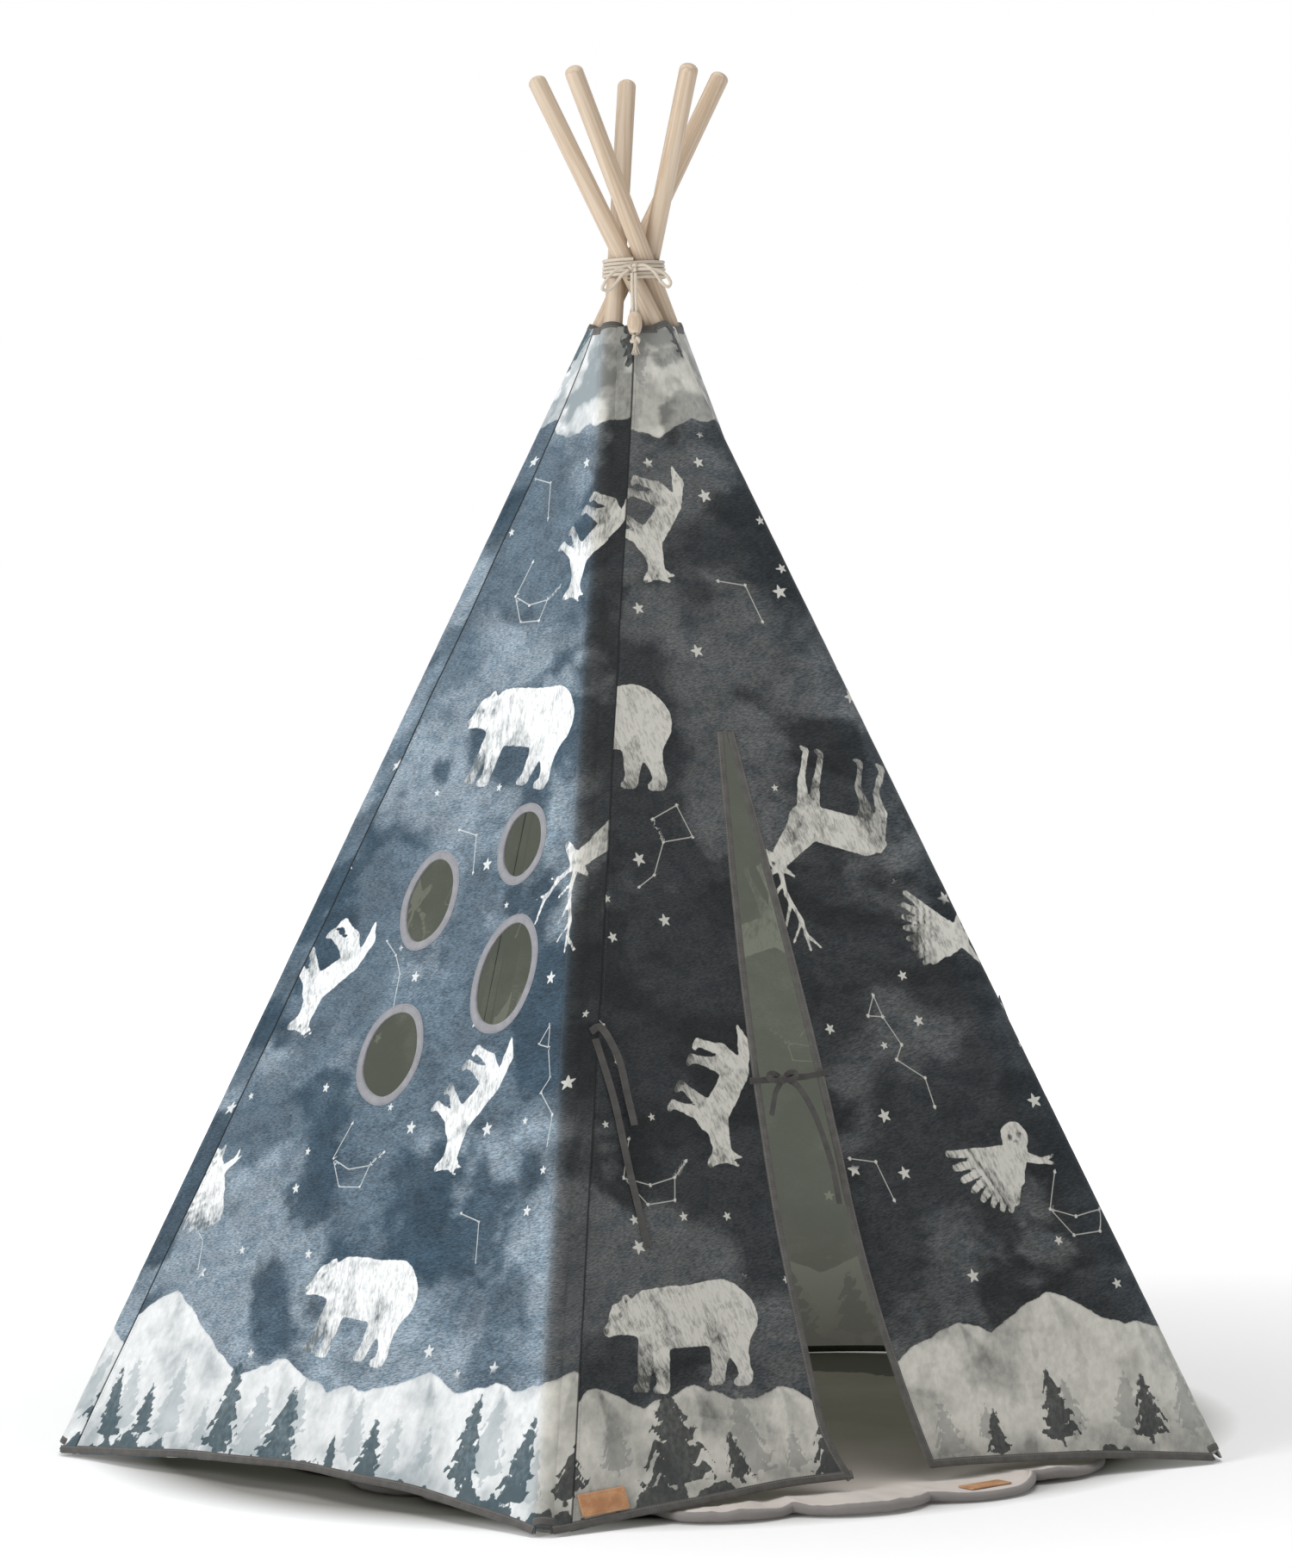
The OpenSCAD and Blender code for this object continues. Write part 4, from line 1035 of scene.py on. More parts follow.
def sleeve(n):
    """The cloth tube round pole n and the strip beside it up to the seam, printed like the panel before."""
    before = (n + 3) % 5 + 1
    name = f"pole_{n}_sleeve"
    sides, rows = 40, 330
    length = (COVER_TOP - FOOT_Z) / cos(SPLAY)
    t = np.concatenate([[-0.002, -0.002, -0.0014], np.linspace(0.0008, length, rows)])
    r = np.concatenate([[0.0003, 0.009, TUBE_R - 0.0012], np.full(rows, TUBE_R)])
    r_in = np.concatenate([[0.0002, 0.008, POLE_R], np.full(rows, TUBE_R - CANVAS)])
    t_in = np.maximum(t, -0.0003)
    a = around(sides)
    foot, axis, x, y = pole_frame(n)
    puckers = 0.0005 * (fbm(np.cos(a)[None, :] * 2 + n, t[:, None] * 60, 30 + n, 3) - 0.5)
    puckers = puckers * (r > 0.013)[:, None]

    def ring(radius, along):
        spokes = np.cos(a)[None, :, None] * x + np.sin(a)[None, :, None] * y
        return (foot + along[:, None, None] * axis + radius[..., None] * spokes).reshape(-1, 3)

    outer, inner = ring(r[:, None] + puckers, t), ring(r_in[:, None] + puckers, t_in)
    z = outer[:, 2]
    aside = outer[:, :2] - pole_at(n, z)
    normal = turn_of(before) + radians(36)
    phi = (np.arctan2(aside[:, 1], aside[:, 0]) - normal + pi) % (2 * pi) - pi
    u = half_width(z) + TUBE_R * phi
    tube = closed_sheet(outer, inner, grid_quads(len(t), sides, closed=True))
    layers = print_layers(before, u, z, TUBE_R * (phi - radians(72)))
    # the strip
    s, h, quads = panel_grid(8, 300, lambda v: -half_width(v), lambda v: SEAM + 0.0006 - half_width(v),
                             lambda f: hem_z(f * 0.03), lambda f: COVER_TOP + 0 * f)
    proud = 0.0006 * step(s + half_width(h), 0.0, 0.012)
    strip = closed_sheet(skin(n, s, h, proud), skin(n, s, h, proud - CANVAS), quads)
    from_pole = s + half_width(h)
    u = half_width(h) + CORNER + from_pole
    more = print_layers(before, u, h, np.minimum(from_pole, SEAM))
    points = np.concatenate([tube[0], strip[0]])
    faces = list(tube[1]) + list(strip[1] + len(tube[0]))
    inward = np.cos(a[np.asarray(tube[1])[:, 0] % sides]) < 0.3
    side = np.concatenate([np.where(inward, 1, tube[2]), strip[2]])
    both = {key: np.concatenate([layers[key]] * 2 + [more[key]] * 2) for key in layers}
    obj = make(f"{name}_cover", points, faces, [CANVAS_OUT, CANVAS_IN], side, **both)
    declare(obj, f"pole_{n}", [name])
    sleeve_band(n, "foot_band", 0.0004, 1)
    sleeve_band(n, "neck_band", length - TAPE_W, -1)


def sleeve_band(n, label, low, way):
    """Tape round a sleeve, that far up it, with its stitches on the upper side for way 1."""
    foot, axis, x, y = pole_frame(n)
    steps = [(0.0, 0), (0.0, 1), (0.25, 1.4), (0.75, 1.4), (1.0, 1), (1.0, 0)]
    profile = [(TAPE_W * d, TUBE_R - 0.0016 + 0.0018 * min(1, k) + 0.0008 * max(0, k - 1)) for d, k in steps]
    sections = [[foot + axis * (low + d) + (x * cos(b) + y * sin(b)) * out for d, out in profile]
                for b in around(BAND_SIDES)]
    points, faces = swept(np.array(sections), closed=True)
    run = np.repeat(TUBE_R * around(BAND_SIDES), len(profile))
    across = np.tile([d if way > 0 else TAPE_W - d for d, _ in profile], BAND_SIDES)
    solid(f"pole_{n}_{label}", points, faces, TAPE, f"pole_{n}", "grey_tape",
          place=np.stack([run, across, 0 * run], -1))


def edging(name, n, s, z, ins, inz, body, nodes=None, width=TAPE_W, material=None, slot="grey_tape",
           closed=False, thick=0.0009):
    """Tape folded over an edge of panel n's canvas. (ins, inz) points from the edge into the canvas."""
    profile = [(width, 0.45 * thick), (0.7 * width, 0.9 * thick), (0.3 * width, thick), (0.0, 0.9 * thick),
               (-0.0007, 0.0002), (-0.0007, -CANVAS - 0.0002), (0.0, -CANVAS - 0.9 * thick),
               (0.5 * width, -CANVAS - thick), (width, -CANVAS - 0.45 * thick)]
    d = np.array([p[0] for p in profile])[None, :]
    off = np.array([p[1] for p in profile])[None, :]
    sections = skin(n, s[:, None] + d * ins[:, None], z[:, None] + d * inz[:, None], off)
    points, faces = swept(sections, closed=closed)
    run = run_along(sections[:, 0])[:, None] + 0 * d
    place = np.stack([run, d + 0 * run, 0 * run], -1).reshape(-1, 3)
    return gather(solid(name, points, faces, material or TAPE, body, slot, nodes, place=place), n)


def along_edge(s, z, side):
    """Unit directions across a line of points (s, z): to its left for side 1, to its right for side -1."""
    ds, dz = np.gradient(s), np.gradient(z)
    size = np.hypot(ds, dz)
    return -side * dz / size, side * ds / size


def hem_tape(n, name, body, share_low, share_high, left, right, nodes):
    """Tape along part of panel n's hem, from s = left to s = right."""
    f = np.linspace(share_low, share_high, 160)
    z = hem_z(f, n)
    s = np.linspace(left, right, 160)
    return edging(name, n, s, z, *along_edge(s, z, 1), body, nodes)


def neck_tape(n):
    """Tape along the upper edge of panel n."""
    w = half_width(COVER_TOP)
    s = np.linspace(SEAM - w - 0.002, w - 0.001, 30)
    z = np.full(30, COVER_TOP)
    name = WALLS[n]
    return edging(f"{name}_neck_binding", n, s, z, 0 * s, 0 * s - 1, f"{name}_wall", [f"{name}_neck_tape"])


def window_tape(k, window):
    """Tape round window k, cut a little unevenly."""
    ws, wz, width, length, lean = window
    t = around(96)
    wobble = 1 + 0.012 * np.sin(3 * t + k) + 0.008 * np.sin(5 * t + 2 * k)
    x = (width / 2 - WINDOW_TAPE) * wobble * np.cos(t)
    y = (length / 2 - WINDOW_TAPE) * wobble * np.sin(t)
    c, d = cos(radians(lean)), sin(radians(lean))
    out = np.stack([np.cos(t) * length, np.sin(t) * width], -1)
    out /= np.linalg.norm(out, axis=1, keepdims=True)
    return edging(f"window_{k}_binding", 5, ws + x * c - y * d, wz + x * d + y * c,
                  out[:, 0] * c - out[:, 1] * d, out[:, 0] * d + out[:, 1] * c, "window_wall",
                  ["window_bindings"] if k == 1 else None, WINDOW_TAPE, WINDOW_TAPE_CLOTH, "window_tape",
                  closed=True, thick=0.0011)


def slit_tape(side):
    """Binding down a flap's free edge, with its hem tape below."""
    name, shares = FLAPS[side], HEM_SHARES[side]
    foot_share, inner_share = shares[::-side]
    z = np.linspace(hem_z(inner_share) + 0.001, SLIT_TOP - 0.001, 220)
    s = slit(side, z)
    edge = edging(f"{name}_slit_binding", 1, s, z, *along_edge(s, z, -side), name, [f"{name}_binding"])
    ends = [float(fold_line(side, hem_z(foot_share))), float(s[0])]
    return [edge, hem_tape(1, f"{name}_hem_binding", name, *shares, *ends[::-side], [])]


PANEL_LEAN = atan(FOOT_R * cos(radians(36)) / (CROSS_Z - FOOT_Z))


def cut_area(width, low, high):
    """Flat area of canvas of a given width at each height."""
    z = np.linspace(low, high, 200)
    across = width(z)
    return float(np.sum((across[1:] + across[:-1]) / 2 * np.diff(z)) / cos(PANEL_LEAN))


def cut_sheet(wide, low, high, width, with_pieces):
    """Works out the flat area of a piece of canvas's cut, as wide and as long as the cloth it comes from;
    the area is not kept.
    """
    long = (high - low) / cos(PANEL_LEAN)
    area = max(LEAST_CUT * wide * long, cut_area(width, low, high))


def ribbon(name, path, normals, width, body, n=None, nodes=None):
    """A flat ribbon along a path of points, whose face looks along the normals."""
    t = unit(np.gradient(path, axis=0))
    side = unit(np.cross(normals, t))
    up = np.cross(t, side)
    shape = [(-0.5, 0.1), (-0.44, 1.0), (-0.2, 0.75), (0.2, 0.75), (0.44, 1.0), (0.5, 0.1),
             (0.44, -0.1), (-0.44, -0.1)]
    sections = np.stack([path + side * width * a + up * RIBBON_T * b for a, b in shape], 1)
    points, faces = swept(sections)
    run = run_along(path)[:, None]
    across = np.array([abs(a) * width for a, _ in shape])[None, :]
    place = np.stack([run + 0 * across, across + 0 * run, 0 * run * across], -1).reshape(-1, 3)
    obj = solid(name, points, faces, RIBBON, body, "grey_tape", nodes, place=place)
    if n:
        gather(obj, n)


def on_cloth(n, points, steps=8):
    """A smooth path through points (s, z, off) on panel n in millimetres, and which way the cloth faces."""
    p = spline(np.array(points, float) * 0.001, steps)
    path = skin(n, p[:, 0], p[:, 1], p[:, 2])
    return path, unit(skin(n, p[:, 0], p[:, 1], p[:, 2] + 0.01) - path)


def door_tie():
    """Two ribbons that hold the flaps together, with a knot and two loose ends."""
    knot, tie = -24, TIE_Z * 1000
    left = on_cloth(1, [(-63, tie, 1.4), (-52, tie, 1.4), (-40, tie, 1.8), (knot - 4, tie, 3.2)])
    ribbon("door_tie_left_run", *left, 0.75 * RIBBON_W, "flap_left", 1, ["door_tie_left"])
    short = on_cloth(1, [(knot - 1, tie - 2, 4), (knot - 12, tie - 14, 4), (knot - 17, tie - 26, 3),
                         (knot - 22, tie - 38, 2)])
    ribbon("door_tie_short_end", *short, 0.7 * RIBBON_W, "flap_left", 1)
    right = on_cloth(1, [(35, tie + 4, 1.4), (22, tie + 3, 1.6), (6, tie + 1, 2.4),
                         (knot + 6, tie + 1, 3.2)])
    ribbon("door_tie_right_run", *right, 0.75 * RIBBON_W, "flap_right", 1, ["door_tie_right"])
    tail = on_cloth(1, [(knot + 6, tie, 4.4), (-6, tie - 10, 5), (4, tie - 34, 5), (10, tie - 62, 4.6),
                        (14, tie - 100, 4), (13, tie - 138, 4)])
    ribbon("door_tie_long_end", *tail, 0.7 * RIBBON_W, "flap_right", 1)
    for k, way in enumerate((-1, 1)):
        turns = [(1, 1, 4.4), (9, 7, 6.4), (16, 7, 6.8), (17, 2, 6.4), (9, -1, 6), (1, -1, 5.2)]
        loop = on_cloth(1, [(knot + a * way, tie + b, c) for a, b, c in turns])
        ribbon(f"door_tie_loop_{k + 1}", *loop, 0.6 * RIBBON_W, "flap_left", 1)
    at, out = on_cloth(1, [(knot, tie - 0.5, 5), (knot + 0.5, tie - 0.5, 5)], 1)
    points, faces = bulb(at[0], np.array(across_of(1)), out[0], (0.0052, 0.003, 0.0056), 0.1, 5)
    place = np.stack([points[:, 0], points[:, 2], 0 * points[:, 0]], -1)
    knob = solid("door_tie_knot", points, faces, RIBBON, "flap_left", "grey_tape", place=place)
    gather(knob, 1)


def bulb(at, x, out, size, dents, lobes):
    """A small lobed knob."""
    rings, sides = 18, 24
    up = unit(np.cross(x, out))
    points = []
    for i in range(1, rings):
        lat = pi * i / rings - pi / 2
        for k in range(sides):
            lon = 2 * pi * k / sides
            r = 1 + dents * sin(lobes * lon + 3 * lat) * cos(lat)
            level = x * size[0] * r * cos(lat) * cos(lon) + out * size[1] * r * cos(lat) * sin(lon)
            points.append(at + level + up * size[2] * sin(lat))
    points += [at - up * size[2], at + up * size[2]]
    faces = [list(q) for q in grid_quads(rings - 1, sides, closed=True)]
    last, low, high = (rings - 2) * sides, len(points) - 2, len(points) - 1
    faces += [[low, (k + 1) % sides, k] for k in range(sides)]
    faces += [[last + k, last + (k + 1) % sides, high] for k in range(sides)]
    return np.array(points), faces


def tieback(n, name, body):
    """A ribbon sewn into the seam beside a pole, hanging doubled until a flap is tied back."""
    seam = -(float(half_width(TIEBACK_Z)) * 1000 - 15)
    runs = [[(0, 0, 1), (12, 3, 7), (24, -30, 9), (26, -70, 7), (28, -102, 5)],
            [(4, -8, 1), (10, -70, 3), (12, -150, 2), (14, -230, 2)]]
    for k, run in enumerate(runs, 1):
        points = [(seam + a, TIEBACK_Z * 1000 + b, c) for a, b, c in run]
        ribbon(f"{name}_run_{k}", *on_cloth(n, points), 0.85 * RIBBON_W, body, nodes=[name])


# ---------- rope ----------

def wrap_r(h):
    """How far from the tent's axis the rope runs, at height h above the crossing."""
    return math.hypot(CROSS_R, h * tan(SPLAY)) + POLE_R / cos(SPLAY) + ROPE_R + 0.0003


FRONT = radians(-116)
WRAP_LOW = -0.017
WRAP_PITCH = 0.0043
FACE = wrap_r(-0.006) + ROPE_R
# The bow's points in millimetres: to the right, outward from the turns, and up from the crossing
LOOP_LEFT = [(-4, 4, -4), (-12, 6, -5), (-24, 9, -11), (-34, 11, -23), (-37, 11, -31), (-30, 9, -32),
             (-21, 9, -24), (-14, 8, -15), (-6, 7, -9)]
LOOP_RIGHT = [(4, 4, -4), (14, 6, -4), (24, 9, -12), (32, 11, -24), (40, 11, -30), (43, 9, -24),
              (36, 7, -14), (24, 7, -9), (14, 6, -8), (5, 4, -8)]
TAIL_TOP = (0, 8, -13)
TAIL_END = (0, 29, -86)


BOW_OUT = np.array([cos(FRONT), sin(FRONT), 0.0])
BOW_X = np.array([-BOW_OUT[1], BOW_OUT[0], 0.0])
UP = np.array([0, 0, 1.0])


def bow_at(p):
    """A point given as to the right, outward and up, in millimetres."""
    p = np.asarray(p, float) * 0.001
    return BOW_OUT * (FACE + p[..., 1:2]) + BOW_X * p[..., 0:1] + UP * (CROSS_Z + p[..., 2:3])


def rope_tube(path, radius, closed=False, lay=0.0085, sides=15, thin_to=1.0):
    """Three-strand rope along an even path: points, faces and the place of each point."""
    t, side = frames_along(path)
    up = np.cross(t, side)
    run = run_along(path)
    a = around(sides)[None, :]
    strand = np.abs(np.cos(1.5 * (a - 2 * pi * run[:, None] / lay)))
    r = radius * (0.82 + 0.2 * np.sqrt(strand))
    taper = mix(1.0, thin_to, (run / run[-1])[:, None])
    spokes = side[:, None] * np.cos(a)[..., None] + up[:, None] * np.sin(a)[..., None]
    sections = path[:, None] + spokes * (r * taper)[..., None]
    points, faces = swept(sections, closed=closed)
    # the third number of place is how deep in a hollow between strands a point lies, where the rope is
    # darker
    place = np.stack([run[:, None] + 0 * a, radius * a + 0 * r, 1 - strand], -1).reshape(-1, 3)
    return points, faces, place


def rope(name, path, body, nodes, closed=False):
    """A length of rope along an even path."""
    points, faces, place = rope_tube(path, ROPE_R, closed)
    return solid(name, points, faces, ROPE, body, "cotton_rope", nodes, place=place)


def knot_path(at, x, y, z, size):
    """A closed overhand knot."""
    t = around(90)[:, None]
    return (at + x * size[0] * (np.sin(t) + 2 * np.sin(2 * t)) / 3 + y * size[1] * -np.sin(3 * t)
            + z * size[2] * (np.cos(t) - 2 * np.cos(2 * t)) / 3)


def bow_and_tails():
    """The rope's bow in front of the lashing, with its two ends and their end knot."""
    for name, points in (("bow_loop_left", LOOP_LEFT), ("bow_loop_right", LOOP_RIGHT)):
        path = even(spline(bow_at(points), 8), 0.0011)
        loop = rope(f"{name}_rope", path, "lashing", [name])
    top, end = bow_at(TAIL_TOP), bow_at(TAIL_END)
    drop = unit(end - top)
    x = BOW_X
    face = np.cross(x, drop)
    middle = bow_at((0, 4.5, -6))
    rope("bow_knot_rope", knot_path(middle, x, BOW_OUT, UP, (0.0048, 0.0024, 0.0044)), "lashing",
         ["bow_knot"], closed=True)
    low = end + drop * 0.006
    tail_knot = rope("tail_end_knot", knot_path(low, x, face, drop, (0.0048, 0.0026, 0.0044)), "tails",
                     ["tail_knot"], closed=True)
    fray = frayed_end(low, x, face, drop)
    for side, name in ((-1, "tail_cord_left"), (1, "tail_cord_right")):
        path = np.linspace(top, end, 70) + x * side * (ROPE_R + 0.0001)
        cord = rope(f"{name}_rope", path, "tails", [name])


TUFTS = 26


def frayed_end(low, x, face, drop):
    """Loose fibres below the end knot."""
    rng = np.random.default_rng(5)
    tufts, places = [], []
    for k in range(TUFTS):
        a, lean = 2.4 * k, 0.0016 + 0.003 * rng.uniform()
        spread = x * cos(a) + face * sin(a)
        start = low + drop * 0.003 + spread * 0.0018 * rng.uniform()
        path = np.array([start + drop * 0.0155 * t * rng.uniform(0.96, 1.0) + spread * lean * t ** 1.5
                         for t in np.linspace(0, 1, 9)])
        points, faces, place = rope_tube(path, 0.00075, sides=6, thin_to=0.35)
        tufts.append((points, outward(points, faces)))
        places.append(place)
    return solid("tail_frayed_end", *joined(tufts), ROPE, "tails", "cotton_rope",
                 place=np.concatenate(places))


def lashing():
    """The rope's turns round the crossing of the poles."""
    steps = TURNS * 260
    k = np.linspace(0, TURNS, steps)
    h = WRAP_LOW + WRAP_PITCH * k
    r = np.array([wrap_r(v) for v in h]) + 0.0003 * np.sin(23 * k)
    a = FRONT + 2 * pi * k
    path = np.stack([r * np.cos(a), r * np.sin(a), CROSS_Z + h], -1)
    rope("lashing_wraps_rope", even(path, 0.001), "lashing", ["lashing_wraps"])


# ---------- mat and labels ----------

MAT_LABEL = (0.095, -0.62)


def floor_mat():
    """A thin padded mat with a scalloped, puckered edge."""
    spokes, rings = 720, 60
    a = around(spokes)
    dip = 1 - np.abs(np.sin(9 * (a + radians(5))))
    outline = MAT_R - 0.002 - 0.03 * dip ** 1.3 - 0.006 * noise(a * 6, 0 * a, 81)
    outline = outline - 0.035 * step(np.cos(a - radians(200)), 0.72, 0.95)
    q = np.sin(np.linspace(0, 1, rings + 1) * pi / 2)[1:]
    r = outline[None, :] * q[:, None]
    rim = outline[None, :] - r
    x = MAT_AT[0] + r * np.cos(a)
    y = MAT_AT[1] + r * np.sin(a)
    roll = np.sqrt(1 - (1 - np.clip(rim / 0.009, 0, 1)) ** 2)
    pinch = 1 - 0.3 * step(-np.abs(rim - 0.01), -0.004, 0.0)
    puff = 0.5 * MAT_T * roll * pinch * (0.86 + 0.28 * fbm(x * 10, y * 10, 83))
    crumple = 0.01 * step(-rim, -0.13, -0.01) * (fbm(a * 15 + 0 * r, r * 9, 84) - 0.28)
    crumple = crumple + 0.002 * fbm(x * 30, y * 30, 85)
    beside = np.hypot(x - MAT_LABEL[0], y - MAT_LABEL[1])
    lift = np.maximum(0, crumple) * step(r, 0.3, 0.45) * step(beside, 0.03, 0.07)
    top = np.stack([x, y, 0.5 * MAT_T + puff + lift], -1)
    bottom = np.stack([x, y, np.maximum(0, 0.5 * MAT_T - 0.5 * MAT_T * roll + 0.6 * lift)], -1)
    count = rings * spokes
    points = np.concatenate([top.reshape(-1, 3), bottom.reshape(-1, 3)[:-spokes],
                             [[*MAT_AT, MAT_T * 0.93], [*MAT_AT, 0.0]]])
    low_ids = np.concatenate([count + np.arange(count - spokes), np.arange(count - spokes, count)])
    quads = grid_quads(rings, spokes, closed=True)
    faces = [list(f) for f in quads[:, ::-1]] + [list(low_ids[f]) for f in quads]
    crown, sole = len(points) - 2, len(points) - 1
    for k in range(spokes):
        faces.append([crown, k, (k + 1) % spokes])
        faces.append([sole, low_ids[(k + 1) % spokes], low_ids[k]])
    away = np.concatenate([rim.ravel(), rim.ravel()[:-spokes], [0.4, 0.4]])
    run = np.tile(run_along(np.stack([x[-1], y[-1]], -1)), rings)
    run = np.concatenate([run, run[:-spokes], [0, 0]])
    place = np.stack([points[:, 0], points[:, 1], away], -1)
    obj = solid("padded_mat", points, faces, MAT, "mat", "mat_fabric", place=place,
                nodes=["floor_mat"], edge=np.stack([run, away, 0 * away], -1))


STITCH = 0.0034


def label(name, node, at, x, up, body, n=None):
    """A blank leather label with rounded corners and a border of stitches."""
    out = np.cross(x, up)
    half = np.array([0.029, 0.0125])
    corner = 0.0022
    turns = around(40) + pi / 80
    ring = np.stack([np.sign(np.cos(turns)) * (half[0] - corner) + corner * np.cos(turns),
                     np.sign(np.sin(turns)) * (half[1] - corner) + corner * np.sin(turns)], -1)
    sections = []
    for inset, height in [(0.0, 0.0), (0.0, 0.0009), (0.0003, 0.0013), (0.0009, 0.0015)]:
        shape = ring * (half - inset) / half
        sections.append([at + x * px + up * py + out * height for px, py in shape])
    obj = solid(name, *swept(np.array(sections)), LEATHER, body, "label_leather", [node])
    border = half - 0.0028
    threads = []

    def sew(px, py, dx, dy):
        """One stitch, which dips into the leather at both ends."""
        middle = at + x * px + up * py + out * 0.0014
        along = x * dx + up * dy
        beside = np.cross(out, along)
        rings = []
        for b in np.linspace(-1, 1, 5):
            fat = 0.00038 * math.sqrt(max(0.04, 1 - b * b))
            centre = middle + along * 0.0012 * b - out * 0.0004 * b * b
            rings.append([centre + (beside * cos(c) + out * sin(c)) * fat for c in around(6)])
        threads.append(swept(np.array(rings)))

    for px in np.arange(-border[0] + 0.002, border[0] - 0.001, STITCH):
        for py in (-border[1], border[1]):
            sew(px, py, 1, 0)
    for py in np.arange(-border[1] + 0.002, border[1] - 0.001, STITCH):
        for px in (-border[0], border[0]):
            sew(px, py, 0, 1)
    sewn = solid(f"{name}_stitches", *joined(threads), THREAD, body, "label_leather")
    if n:
        gather(obj, n)
        gather(sewn, n)


def tent_label():
    """The label in the door panel's lower left corner, a little askew."""
    s, z = -0.345, 0.03
    at = skin(1, s, z, 0.0013)
    x = skin(1, s + 0.02, z, 0.0013) - skin(1, s - 0.02, z, 0.0013)
    up = skin(1, s, z + 0.01, 0.0013) - skin(1, s, z - 0.01, 0.0013)
    x = unit(x)
    up = unit(up - x * (up @ x))
    c, d = cos(radians(4)), sin(radians(4))
    label("tent_leather_label", "tent_label", at, x * c + up * d, up * c - x * d, "door_wall", 1)


def mat_label():
    """The label near the mat's front edge."""
    c, d = cos(radians(12)), sin(radians(12))
    at = np.array([*MAT_LABEL, MAT_T + 0.001])
    label("mat_leather_label", "mat_label", at, np.array([c, d, 0]), np.array([-d, c, 0]), "mat")


# ---------- camera and light ----------

CAMERA_AT = (-2.7412, -5.7195, 1.0447)
CAMERA_AXES = [(0.9011, -0.433, -0.0239), (0.0403, 0.0288, 0.9988), (-0.4318, -0.9009, 0.0434)]


def camera():
    """Stands before the door, a little left of it, at a child's eye height."""
    data = bpy.data.cameras.new("camera")
    data.lens = 122.56
    data.sensor_width = 36.0
    data.clip_end = 100.0
    obj = bpy.data.objects.new("camera", data)
    bpy.context.scene.collection.objects.link(obj)
    obj.matrix_world = Matrix.Translation(CAMERA_AT) @ Matrix(CAMERA_AXES).transposed().to_4x4()
    bpy.context.scene.camera = obj


def area_light(name, at, target, size, watts, colour):
    """A round soft light aimed at a target."""
    data = bpy.data.lights.new(name, "AREA")
    data.shape = "DISK"
    data.size = size
    data.energy = watts
    data.color = colour
    obj = bpy.data.objects.new(name, data)
    obj.location = at
    obj.rotation_euler = (Vector(target) - Vector(at)).to_track_quat("-Z", "Y").to_euler()
    bpy.context.scene.collection.objects.link(obj)


def studio():
    """Soft daylight from the left, a weaker fill by the camera, and a pale floor and surround."""
    world = bpy.data.worlds.new("studio")
    bpy.context.scene.world = world
    bpy.context.scene.view_settings.view_transform = "Standard"
    world.use_nodes = True
    nodes, links = world.node_tree.nodes, world.node_tree.links
    seen = nodes.new("ShaderNodeLightPath")
    strength = nodes.new("ShaderNodeMapRange")
    strength.inputs["To Min"].default_value = 0.32
    strength.inputs["To Max"].default_value = 1.0
    links.new(seen.outputs["Is Camera Ray"], strength.inputs["Value"])
    nodes["Background"].inputs["Color"].default_value = (1.0, 1.0, 1.0, 1.0)
    links.new(strength.outputs[0], nodes["Background"].inputs["Strength"])
    area_light("key", (-5.0, -1.2, 2.6), (0, 0, 0.6), 3.0, 145.0, (0.97, 0.985, 1.0))
    area_light("fill", (0.5, -6.0, 2.0), (0, 0, 0.6), 3.0, 6.0, (1.0, 0.97, 0.92))
    area_light("top", (0.0, 0.0, 8.0), (0, 0, 0.0), 5.0, 300.0, (1.0, 1.0, 1.0))
    count, reach = 64, 40.0
    rim = [(reach * cos(2 * pi * k / count), reach * sin(2 * pi * k / count), -0.0005) for k in range(count)]
    floor = make("floor", rim, [list(range(count))], [floor_material()], smooth=False)


# ---------- everything ----------

def repaint(node, material):
    """Gives a CAD node that stays in view its final look."""
    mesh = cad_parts[node].data
    mesh.materials.clear()
    mesh.materials.append(material)


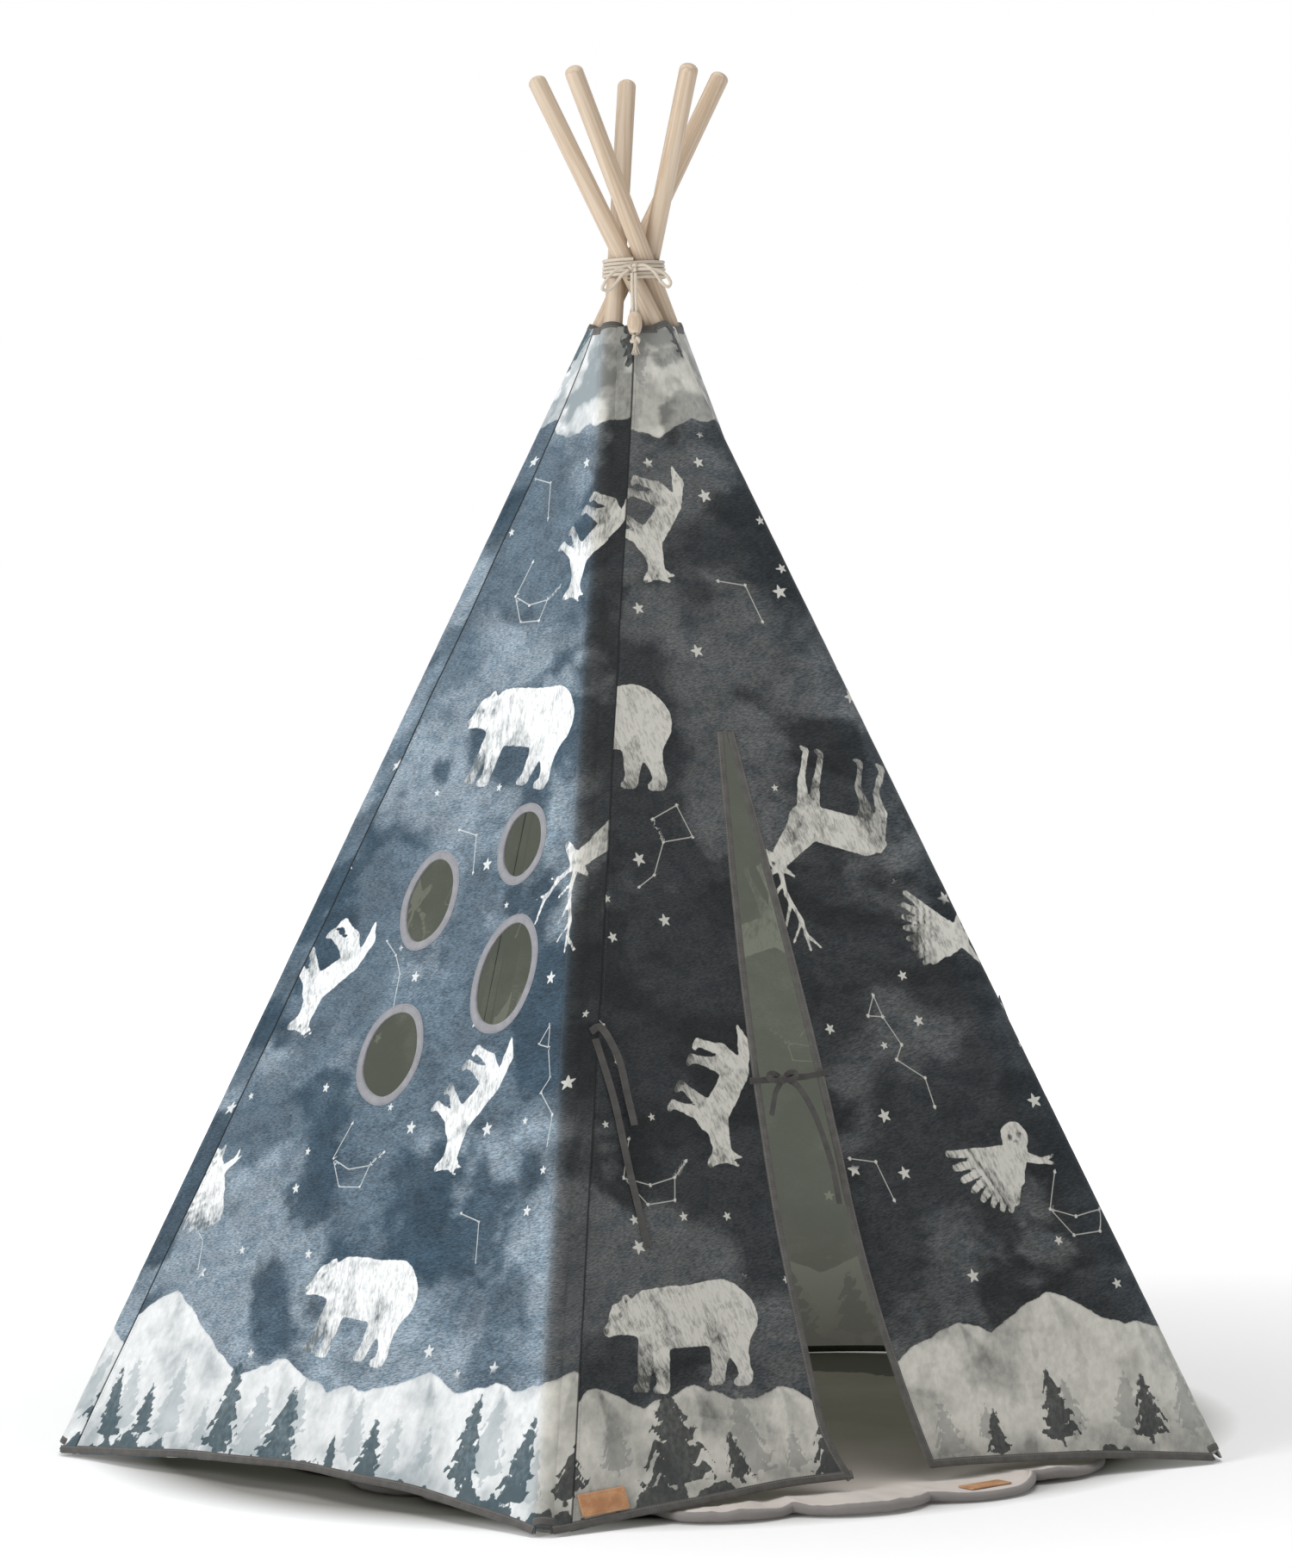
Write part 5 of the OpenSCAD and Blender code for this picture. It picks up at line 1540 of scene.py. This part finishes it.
camera()
ROPE = rope_material()
bow_and_tails()
lashing()
CANVAS_OUT = canvas_material(inside=False)
CANVAS_IN = canvas_material(inside=True)
TAPE = tape_material("grey_cotton_tape", (0.062, 0.058, 0.052), (0.105, 0.099, 0.091))
RIBBON = tape_material("ribbon_cotton_tape", (0.04, 0.038, 0.034), (0.074, 0.07, 0.064), width=0.0072)
WINDOW_TAPE_CLOTH = tape_material("window_cotton_tape", (0.235, 0.235, 0.252), (0.31, 0.31, 0.33),
                                  (0.16, 0.156, 0.168), WINDOW_TAPE)
MAT = mat_material()
LEATHER = leather_material()
THREAD = leather_material("waxed_thread", (0.3, 0.15, 0.07), (0.23, 0.11, 0.05))
STEEL = steel_material()
low = float(half_width(HEM_LOW))
for number in WALLS:
    sleeve(number)
    if number == 1:
        continue
    panel = wall_cover(number)
    wall = WALLS[number]
    bound = [neck_tape(number),
             hem_tape(number, f"{wall}_hem_binding", f"{wall}_wall", 0.0, 1.0, HEM_END - low, low - HEM_END,
                      [f"{wall}_hem_tape"])]
    if number == 5:
        bound += [window_tape(k, window) for k, window in enumerate(WINDOWS, 1)]
    cut_sheet(2 * low - SEAM, HEM_LOW, COVER_TOP, lambda z: 2 * half_width(z) - SEAM, bound)
panel = door_cover()
bound = [neck_tape(1),
         hem_tape(1, "door_hem_binding_left", "door_wall", 0.0, HINGE_FOOT, HEM_END - low,
                  float(fold_line(-1, hem_z(HINGE_FOOT))), ["door_hem_tape"]),
         hem_tape(1, "door_hem_binding_right", "door_wall", 1 - HINGE_FOOT, 1.0,
                  float(fold_line(1, hem_z(1 - HINGE_FOOT))), low - HEM_END, [])]
cut_sheet(2 * low - SEAM, HEM_LOW, COVER_TOP,
          lambda z: 2 * half_width(z) - SEAM - np.where(z < SLIT_TOP, 2 * fold_line(1, z), 0), bound)
for hand in (-1, 1):
    flap = flap_cover(hand)
    reach = abs(float(fold_line(hand, HEM_LOW) - slit(hand, HEM_LOW)))
    cut_sheet(reach, HEM_LOW, SLIT_TOP, lambda z: np.abs(fold_line(hand, z) - slit(hand, z)),
              slit_tape(hand))
door_tie()
tieback(1, "tieback_left", "pole_1")
tieback(2, "tieback_right", "pole_2")
floor_mat()
tent_label()
mat_label()
for number in WALLS:
    wood = wood_material(f"pine_{number}", tuple(pole_frame(number)[1]))
    for part in ("lower", "upper"):
        repaint(f"pole_{number}_{part}", wood)
    repaint(f"pole_{number}_dowel", STEEL)
repaint("bead", wood_material("bead_pine", tuple(bow_at(TAIL_TOP) - bow_at(TAIL_END))))
repaint("lashing_core", rope_material(hidden=True))
studio()
